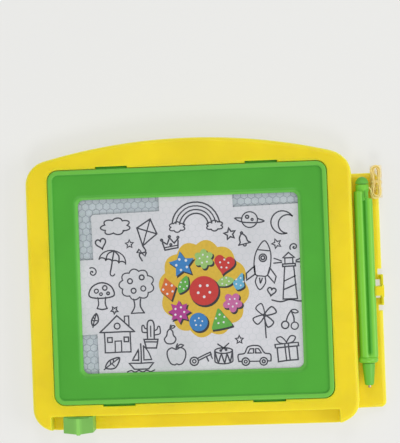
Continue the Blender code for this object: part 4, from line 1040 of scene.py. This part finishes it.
LEAF = soft((-0.9, -0.5), (-0.4, 0.4), (0.9, 0.7), (0.3, -0.5), closed=True)
DRAWINGS = {
    "house": [oblong(-0.7, -1, 0.7, 0.1), loop((-0.95, 0.1), (0, 1), (0.95, 0.1)),
        line((-0.15, -1), (-0.15, -0.4), (0.2, -0.4), (0.2, -1)), oblong(-0.55, -0.45, -0.3, -0.2),
        oblong(0.36, -0.45, 0.6, -0.2), line((0.42, 0.6), (0.42, 0.95), (0.66, 0.95), (0.66, 0.38)),
        circle(0, 0.42, 0.16)],
    "tree": [bumpy(0, 0.3, 0.8, 0.7, 9), soft((-0.16, -0.36), (-0.13, -0.7), (-0.28, -1)),
        soft((0.16, -0.36), (0.13, -0.7), (0.3, -1)), line((-0.28, -1), (0.3, -1)),
        circle(-0.3, 0.45, 0.11), circle(0.25, 0.6, 0.11), circle(0.3, 0.1, 0.11),
        circle(-0.15, 0.02, 0.11)],
    "cloud": [bumpy(0, 0, 1, 0.55, 7, 0.25)],
    "kite": [loop((0, 1), (0.6, 0.3), (0, -0.6), (-0.6, 0.3)), line((0, 1), (0, -0.6)),
        line((-0.6, 0.3), (0.6, 0.3)), soft((0, -0.6), (0.25, -0.85), (-0.05, -1.1), (0.2, -1.4)),
        loop((0.05, -0.98), (0.3, -0.9), (0.28, -1.12)),
        loop((0.05, -0.98), (-0.2, -1.05), (-0.15, -0.83))],
    "sailboat": [loop((-0.95, -0.45), (0.95, -0.45), (0.55, -0.9), (-0.55, -0.9)), line((0, -0.45), (0, 1)),
        soft((0.2, 0.85), (0.55, 0.4), (0.8, -0.22)), line((0.8, -0.22), (0.2, -0.22), (0.2, 0.85)),
        loop((-0.2, 0.6), (-0.2, -0.22), (-0.68, -0.22)),
        soft((-1.1, -1.1), (-0.8, -1.0), (-0.5, -1.12), (-0.2, -1.0), (0.1, -1.12), (0.4, -1.0),
            (0.7, -1.12), (1.0, -1.0))],
    "umbrella": [circle(0, 0.1, 0.95, 0.8, 0, 180),
        *[circle(-0.7125 + 0.475 * step, 0.1, 0.2375, 0.14, 0, 180, steps=20) for step in range(4)],
        line((0, 0.9), (0, -0.7)), circle(0.16, -0.7, 0.16, 0.2, 180, 350),
        *both(soft((0, 0.9), (-0.38, 0.6), (-0.475, 0.14)))],
    "rocket": [soft(*even((0, 1), (0.3, 0.55), (0.36, 0), (0.27, -0.5), (0, -0.56)), closed=True),
        circle(0, 0.25, 0.16), circle(0, 0.25, 0.08), line((-0.27, 0.58), (0.27, 0.58)),
        *both(loop((0.33, -0.15), (0.66, -0.5), (0.62, -0.8), (0.28, -0.5))),
        soft((-0.18, -0.6), (-0.22, -0.85), (0, -1.15), (0.22, -0.85), (0.18, -0.6)),
        soft((-0.06, -0.66), (0, -0.86), (0.06, -0.66))],
    "apple": [soft(*even((0, 0.5), (0.4, 0.66), (0.8, 0.4), (0.82, -0.1), (0.55, -0.7), (0.2, -0.86),
            (0, -0.78)), closed=True), soft((0, 0.5), (0.04, 0.8), (0.14, 1.0)),
        soft((0.08, 0.72), (0.4, 0.95), (0.68, 0.86)), soft((0.08, 0.72), (0.4, 0.66), (0.68, 0.86))],
    "moon": [moon()],
    "crown": [loop((-0.75, -0.6), (-0.95, 0.45), (-0.42, 0.0), (0, 0.7), (0.42, 0.0), (0.95, 0.45),
            (0.75, -0.6)), line((-0.8, -0.32), (0.8, -0.32)), circle(-0.95, 0.57, 0.11),
        circle(0, 0.83, 0.11), circle(0.95, 0.57, 0.11), circle(0, -0.1, 0.11)],
    "gift": [oblong(-0.75, -0.9, 0.75, 0.15), oblong(-0.88, 0.15, 0.88, 0.42),
        *both(line((-0.14, -0.9), (-0.14, 0.42))),
        *both(soft((0, 0.45), (-0.35, 0.95), (-0.72, 0.85), (-0.5, 0.5), closed=True))],
    "leaf": [LEAF, soft((-1.1, -0.7), (-0.3, -0.1), (0.9, 0.7)), line((-0.25, -0.08), (-0.3, 0.3)),
        line((0.15, 0.2), (0.1, 0.5)), line((-0.1, 0.02), (0.2, -0.28))],
    "mushroom": [soft((-0.95, 0), (-0.75, 0.7), (0, 1), (0.75, 0.7), (0.95, 0), (0, -0.16), closed=True),
        *both(soft((-0.3, -0.1), (-0.26, -0.6), (-0.4, -0.95))),
        soft((-0.4, -0.95), (0, -1.04), (0.4, -0.95)), circle(-0.4, 0.4, 0.15), circle(0.25, 0.6, 0.17),
        circle(0.5, 0.18, 0.1), circle(-0.05, 0.15, 0.1)],
    "cactus": [soft((-0.24, -0.4), (-0.24, 0.7), (0, 0.95), (0.24, 0.7), (0.24, -0.4)),
        soft((0.24, -0.1), (0.66, 0.0), (0.66, 0.45), (0.54, 0.5), (0.46, 0.3), (0.24, 0.2)),
        soft((-0.24, 0.1), (-0.6, 0.15), (-0.62, 0.55), (-0.5, 0.6), (-0.42, 0.42), (-0.24, 0.36)),
        loop((-0.5, -0.4), (0.5, -0.4), (0.36, -1), (-0.36, -1)), line((0, -0.2), (0, 0.55)),
        line((-0.44, -0.58), (0.44, -0.58))],
    "key": [circle(-0.62, 0, 0.36), circle(-0.62, 0, 0.15), oblong(-0.27, 0.1, 0.95, -0.1),
        line((0.5, -0.1), (0.5, -0.5)), line((0.9, -0.1), (0.9, -0.45))],
    "drum": [circle(0, 0.35, 0.8, 0.25), *both(line((-0.8, 0.35), (-0.8, -0.55))),
        circle(0, -0.55, 0.8, 0.25, 180, 360),
        line((-0.8, 0.3), (-0.5, -0.72), (-0.2, 0.1), (0.05, -0.8), (0.3, 0.1), (0.55, -0.72), (0.8, 0.3)),
        line((-0.2, 0.4), (0.5, 1.0)), circle(-0.25, 0.36, 0.07), line((0.2, 0.45), (-0.5, 0.95)),
        circle(0.24, 0.42, 0.07)],
    "pinwheel": [*map(pinwheel_blade, range(4)), circle(0, 0.25, 0.08), line((0, 0.1), (0.04, -1.1))],
    "car": [soft((-0.98, -0.4), (-1, 0), (-0.6, 0.1), (-0.35, 0.5), (0.3, 0.52), (0.6, 0.1), (0.98, 0),
            (1, -0.4)), line((-0.98, -0.4), (-0.78, -0.4)), line((-0.32, -0.4), (0.32, -0.4)),
        line((0.78, -0.4), (1, -0.4)), circle(-0.55, -0.42, 0.23), circle(-0.55, -0.42, 0.09),
        circle(0.55, -0.42, 0.23), circle(0.55, -0.42, 0.09),
        line((-0.4, 0.1), (-0.25, 0.36), (-0.04, 0.36), (-0.04, 0.1), (-0.4, 0.1)),
        line((0.08, 0.1), (0.08, 0.36), (0.26, 0.36), (0.42, 0.1), (0.08, 0.1))],
    "rainbow": [*[circle(0, -0.3, reach, reach, 8, 172) for reach in (1.0, 0.84, 0.68, 0.52)],
        *[bumpy(x, -0.32, 0.36, 0.22, 6, 0.25) for x in (-0.78, 0.78)]],
    "cherries": [circle(-0.5, -0.5, 0.36), circle(0.45, -0.62, 0.36),
        soft((-0.4, -0.15), (-0.2, 0.4), (0.15, 0.9)), soft((0.4, -0.24), (0.38, 0.3), (0.15, 0.9)),
        soft((0.15, 0.9), (0.55, 1.0), (0.85, 0.75), (0.5, 0.66), closed=True)],
    "planet": [circle(0, 0, 0.62),
        soft((-0.55, 0.22), (-1.1, 0.3), (-0.6, -0.1), (0.5, -0.32), (1.1, -0.3), (0.62, 0.0)),
        circle(-0.15, 0.25, 0.12), circle(0.2, -0.02, 0.08)],
    "bell": [soft((-0.8, -0.5), (-0.5, -0.2), (-0.42, 0.4), (0, 0.85), (0.42, 0.4), (0.5, -0.2),
            (0.8, -0.5)), line((-0.8, -0.5), (0.8, -0.5)), circle(0, -0.6, 0.18, 0.18, 180, 360),
        circle(0, 0.97, 0.12)],
    "lighthouse": [loop((-0.3, -0.9), (0.3, -0.9), (0.18, 0.45), (-0.18, 0.45)),
        oblong(-0.26, 0.45, 0.26, 0.55), oblong(-0.16, 0.55, 0.16, 0.8),
        loop((-0.24, 0.8), (0.24, 0.8), (0, 1.02)), line((-0.26, -0.5), (0.265, -0.3)),
        line((-0.23, -0.15), (0.235, 0.05)),
        *both(line((0.3, 0.68), (0.6, 0.8)), line((0.3, 0.62), (0.62, 0.6))),
        soft((-0.75, -0.92), (-0.4, -1.0), (0, -0.93), (0.4, -1.0), (0.75, -0.92))],
    "star": [star()],
    "heart": [heart(0.95)],
    "swirl": [swirl()],
    "pear": [soft(*even((0, 0.55), (0.26, 0.3), (0.34, -0.1), (0.6, -0.5), (0.4, -0.9),
            (0, -1)), closed=True), soft((0, 0.55), (0.02, 0.75), (0.1, 0.95)),
        soft((0.06, 0.7), (0.3, 0.9), (0.52, 0.8), (0.3, 0.64), closed=True)],
}

# Each drawing's name, place, half size and turn, in millimetres and degrees
MOTIFS = (
    ("cloud", -38, 31, 8, 4), ("kite", -22.5, 25.5, 9.2, -18), ("rainbow", 4, 33.5, 12.5, 0),
    ("star", 21.5, 25, 3.2, 10), ("planet", 32, 32, 6.6, 8), ("moon", 49, 30, 6.6, -20),
    ("heart", -46, 22.5, 2.9, 14), ("umbrella", -40.5, 12, 7.4, -12), ("tree", -28, -3, 11.6, 0),
    ("mushroom", -46.5, -5, 6.8, 0), ("house", -39, -25, 9.6, 0), ("cactus", -21.5, -25.5, 7.4, 0),
    ("leaf", -42, -40.5, 4.2, 0), ("sailboat", -27, -37.5, 6.8, 0), ("apple", -8.5, -37, 5.8, 0),
    ("key", 4, -39, 6, 24), ("drum", 16, -37.5, 5.8, 0), ("car", 32, -38, 8.4, 0), ("gift", 49, -35.5, 6.8, 4),
    ("pinwheel", 38, -20, 8.6, 0), ("cherries", 51, -20.5, 5.2, 0), ("lighthouse", 51.5, 1.5, 12.5, 0),
    ("rocket", 37.8, 9, 11.8, -8), ("crown", -9.5, 21, 4.6, 8), ("bell", 28.5, 21.5, 4, 12),
    ("star", -31, 21.5, 2.2, 0), ("star", 45.5, 19, 2.6, 20), ("heart", 42, -5.6, 2.3, -10),
    ("swirl", -51, 7.5, 2.6, 0), ("pear", -11.5, -26, 5, 0), ("star", 24.5, -30, 2.2, 0),
    ("leaf", -50.5, -17.5, 3, 40), ("swirl", 54.5, 17, 2.2, 90), ("star", -40, -12.5, 2, 30),
)


def ribbon(bm, points, closed, half, low, high):
    """A flat ribbon along a stroke, with round ends where the stroke is open."""
    count = len(points)
    stations = []
    for index, place in enumerate(points):
        before = points[index - 1] if index or closed else place
        after = points[(index + 1) % count] if index < count - 1 or closed else place
        ahead = (Vector(after) - Vector(before)).normalized()
        mitre = 1.0
        if before is not place and after is not place:
            first = (Vector(place) - Vector(before)).normalized()
            mitre = min(MITRE_MOST, 1 / max(MITRE_LEAST_COSINE, abs(first.dot(ahead))))
        stations.append((Vector(place), Vector((-ahead.y, ahead.x)), half * mitre))
    if not closed:
        for end, sign in ((0, -1), (-1, 1)):
            place, side, _ = stations[end]
            ahead = Vector((side.y, -side.x)) * sign
            angles = [math.radians(turn) for turn in (35, 62, 85)]
            caps = [(place + ahead * half * math.sin(angle), side, half * math.cos(angle)) for angle in angles]
            stations = stations + caps if end else caps[::-1] + stations
    rails = []
    for place, side, reach in stations:
        left, right = place + side * reach, place - side * reach
        rails.append([bm.verts.new((*point, height)) for point, height in
                      ((left, high), (right, high), (right, low), (left, low))])
    join_rings(bm, rails, closed)
    if not closed:
        bm.faces.new(rails[0])
        bm.faces.new(rails[-1][::-1])


def plate(bm, points, low, high, index):
    """A thin closed plate with the given outline and material."""
    top = [bm.verts.new((x, y, high)) for x, y in points]
    foot = [bm.verts.new((x, y, low)) for x, y in points]
    faces = [bm.faces.new(top), bm.faces.new(foot[::-1])]
    for number in range(len(points)):
        after = (number + 1) % len(points)
        faces.append(bm.faces.new((top[after], top[number], foot[number], foot[after])))
    for face in faces:
        face.material_index = index


def placed(points, x, y, size, turn):
    """A motif's points on the sheet, in metres."""
    angle = math.radians(turn)
    made = []
    for across, up in points:
        across, up = across * size, up * size
        made.append(((x + across * math.cos(angle) - up * math.sin(angle)) * MM,
                     (y + across * math.sin(angle) + up * math.cos(angle)) * MM))
    return made


def wobbled(points):
    """A stroke's points, moved a little as by an unsteady hand."""
    made = []
    for x, y in points:
        push = noise.noise_vector(Vector((x, y, 0)) * WOBBLE_SCALE)
        made.append((x + push.x * WOBBLE, y + push.y * WOBBLE))
    return made


def denser(points, closed):
    """The same stroke with points added on its long straight stretches."""
    made = []
    for (x, y), (next_x, next_y) in zip(points, points[1:] + points[:1] if closed else points[1:]):
        count = max(1, int(math.dist((x, y), (next_x, next_y)) / STROKE_GAP))
        made += [(x + (next_x - x) * step / count, y + (next_y - y) * step / count) for step in range(count)]
    return made if closed else made + [points[-1]]


def drawings(base):
    """Small outline drawings. The strokes differ a little in width and level."""
    noise.seed_set(WOBBLE_SEED)
    bm = bmesh.new()
    number = 0
    for name, x, y, size, turn in MOTIFS:
        for points, closed in DRAWINGS[name]:
            stroke = wobbled(denser(placed(points, x, y, size, turn), closed))
            number += 1
            ribbon(bm, stroke, closed, INK_HALF * (0.92 + 0.16 * (number % 3) / 2), base,
                   base + PRINT_STEP + PRINT_STEP * (number % 5) / 5)
    turn_outward(bm)
    new_piece("sheet_drawings", bm, [INK], "board", smooth=False)


BADGE_COLOURS = {"ground": (0.62, 0.41, 0.038), "shadow": (0.03, 0.03, 0.035), "blue": (0.035, 0.19, 0.46),
                 "sky": (0.12, 0.38, 0.55), "green": (0.10, 0.36, 0.055), "lime": (0.28, 0.48, 0.14),
                 "red": (0.50, 0.035, 0.03), "pink": (0.50, 0.13, 0.31), "magenta": (0.38, 0.04, 0.24),
                 "orange": (0.58, 0.13, 0.025), "white": (0.66, 0.66, 0.68)}
DROP = soft(*even((0, 1), (0.38, 0.2), (0.62, -0.35), (0, -0.9)), closed=True)
TRIANGLE = soft(*even((0, 1), (0.35, 0.45), (0.95, -0.65), (0.7, -0.85)), closed=True)
# Outline, colour, place on the badge, half size and turn, in millimetres and degrees
BADGE_SHAPES = (
    (LEAF, "lime", 11.2, 3.4, 4.6, 160), (LEAF, "green", -10.6, 2.2, 4.6, 30),
    (star(5, 0.5), "blue", -11.0, 13.0, 7.0, 8), (bumpy(0, 0, 1, 1, 6, 0.3), "lime", 0.5, 15.5, 5.2, 0),
    (heart(1), "red", 11.0, 12.5, 5.4, -12), (DROP, "sky", 18.6, 3.0, 4.8, -20),
    (bumpy(0, 0, 1, 1, 5, 0.35), "pink", 14.6, -7.6, 5.2, 20),
    (loop((0, 1), (0.68, 0), (0, -1), (-0.68, 0)), "orange", -18.6, 0.5, 6.2, 14),
    (TRIANGLE, "green", 8.0, -16.0, 5.6, 10), (circle(0, 0, 1), "blue", -3.4, -17.2, 4.8, 0),
    (star(8, 0.62), "magenta", -13.2, -11.6, 6.0, 0), (circle(0, 0, 1), "red", 0.0, -1.0, 7.6, 0),
)


def badge(base):
    """A bumpy coloured ground with shapes on it, each over its shadow and with small spots."""
    bm = bmesh.new()

    def lay(outline, x, y, size, turn, height, colour):
        points = placed(outline[0], BADGE_X + x, BADGE_Y + y, size, turn)
        plate(bm, points, base, base + PRINT_STEP * height, list(BADGE_COLOURS).index(colour))

    lay(bumpy(0, 0, 23.5, 25.5, 12, 0.09), 0, 0, 1, BADGE_TURN, 1, "ground")
    for number, (outline, colour, x, y, size, turn) in enumerate(BADGE_SHAPES):
        height = 2 + number / 2
        lay(outline, x + SHADOW_X, y + SHADOW_Y, size * SHADOW_GROWTH, turn, height, "shadow")
        lay(outline, x, y, size, turn, height + 2, colour)
        for spot in range(SPOTS):
            angle = math.tau * spot / SPOTS + number
            reach = SPOT_REACH * size
            lay(circle(0, 0, SPOT_RADIUS, steps=10), x + reach * math.cos(angle), y + reach * math.sin(angle),
                size, 0, height + 3, "white")
    turn_outward(bm)
    looks = [printed(f"print_{name}", colour) for name, colour in BADGE_COLOURS.items()]
    new_piece("sheet_badge", bm, looks, "board", smooth=False)


camera()
studio()
tether()
stand_upright(eased_copy("base_tray", "tray_moulding", YELLOW, [(on_tray_face, EDGE_EASE)]))
eased_copy("front_frame", "frame_moulding", GREEN,
           [(on_window_edge, WINDOW_EASE), (on_frame_face, EDGE_EASE)])
thumb_knob()
stylus_barrel()
honeycomb()
drawings(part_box("picture_sheet")[1].z)
badge(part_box("picture_sheet")[1].z)
for name, look in (("screen_front_film", FILM), ("screen_edge_seal", WHITE), ("screen_back_film", WHITE),
                   ("picture_sheet", PAPER), ("slider_carrier", HIDDEN_GREEN), ("eraser_magnet", FERRITE),
                   ("stylus_cap", CAP_GREEN), ("stylus_nib", NIB_GREEN), ("stylus_magnet", STEEL)):
    dress(name, look)
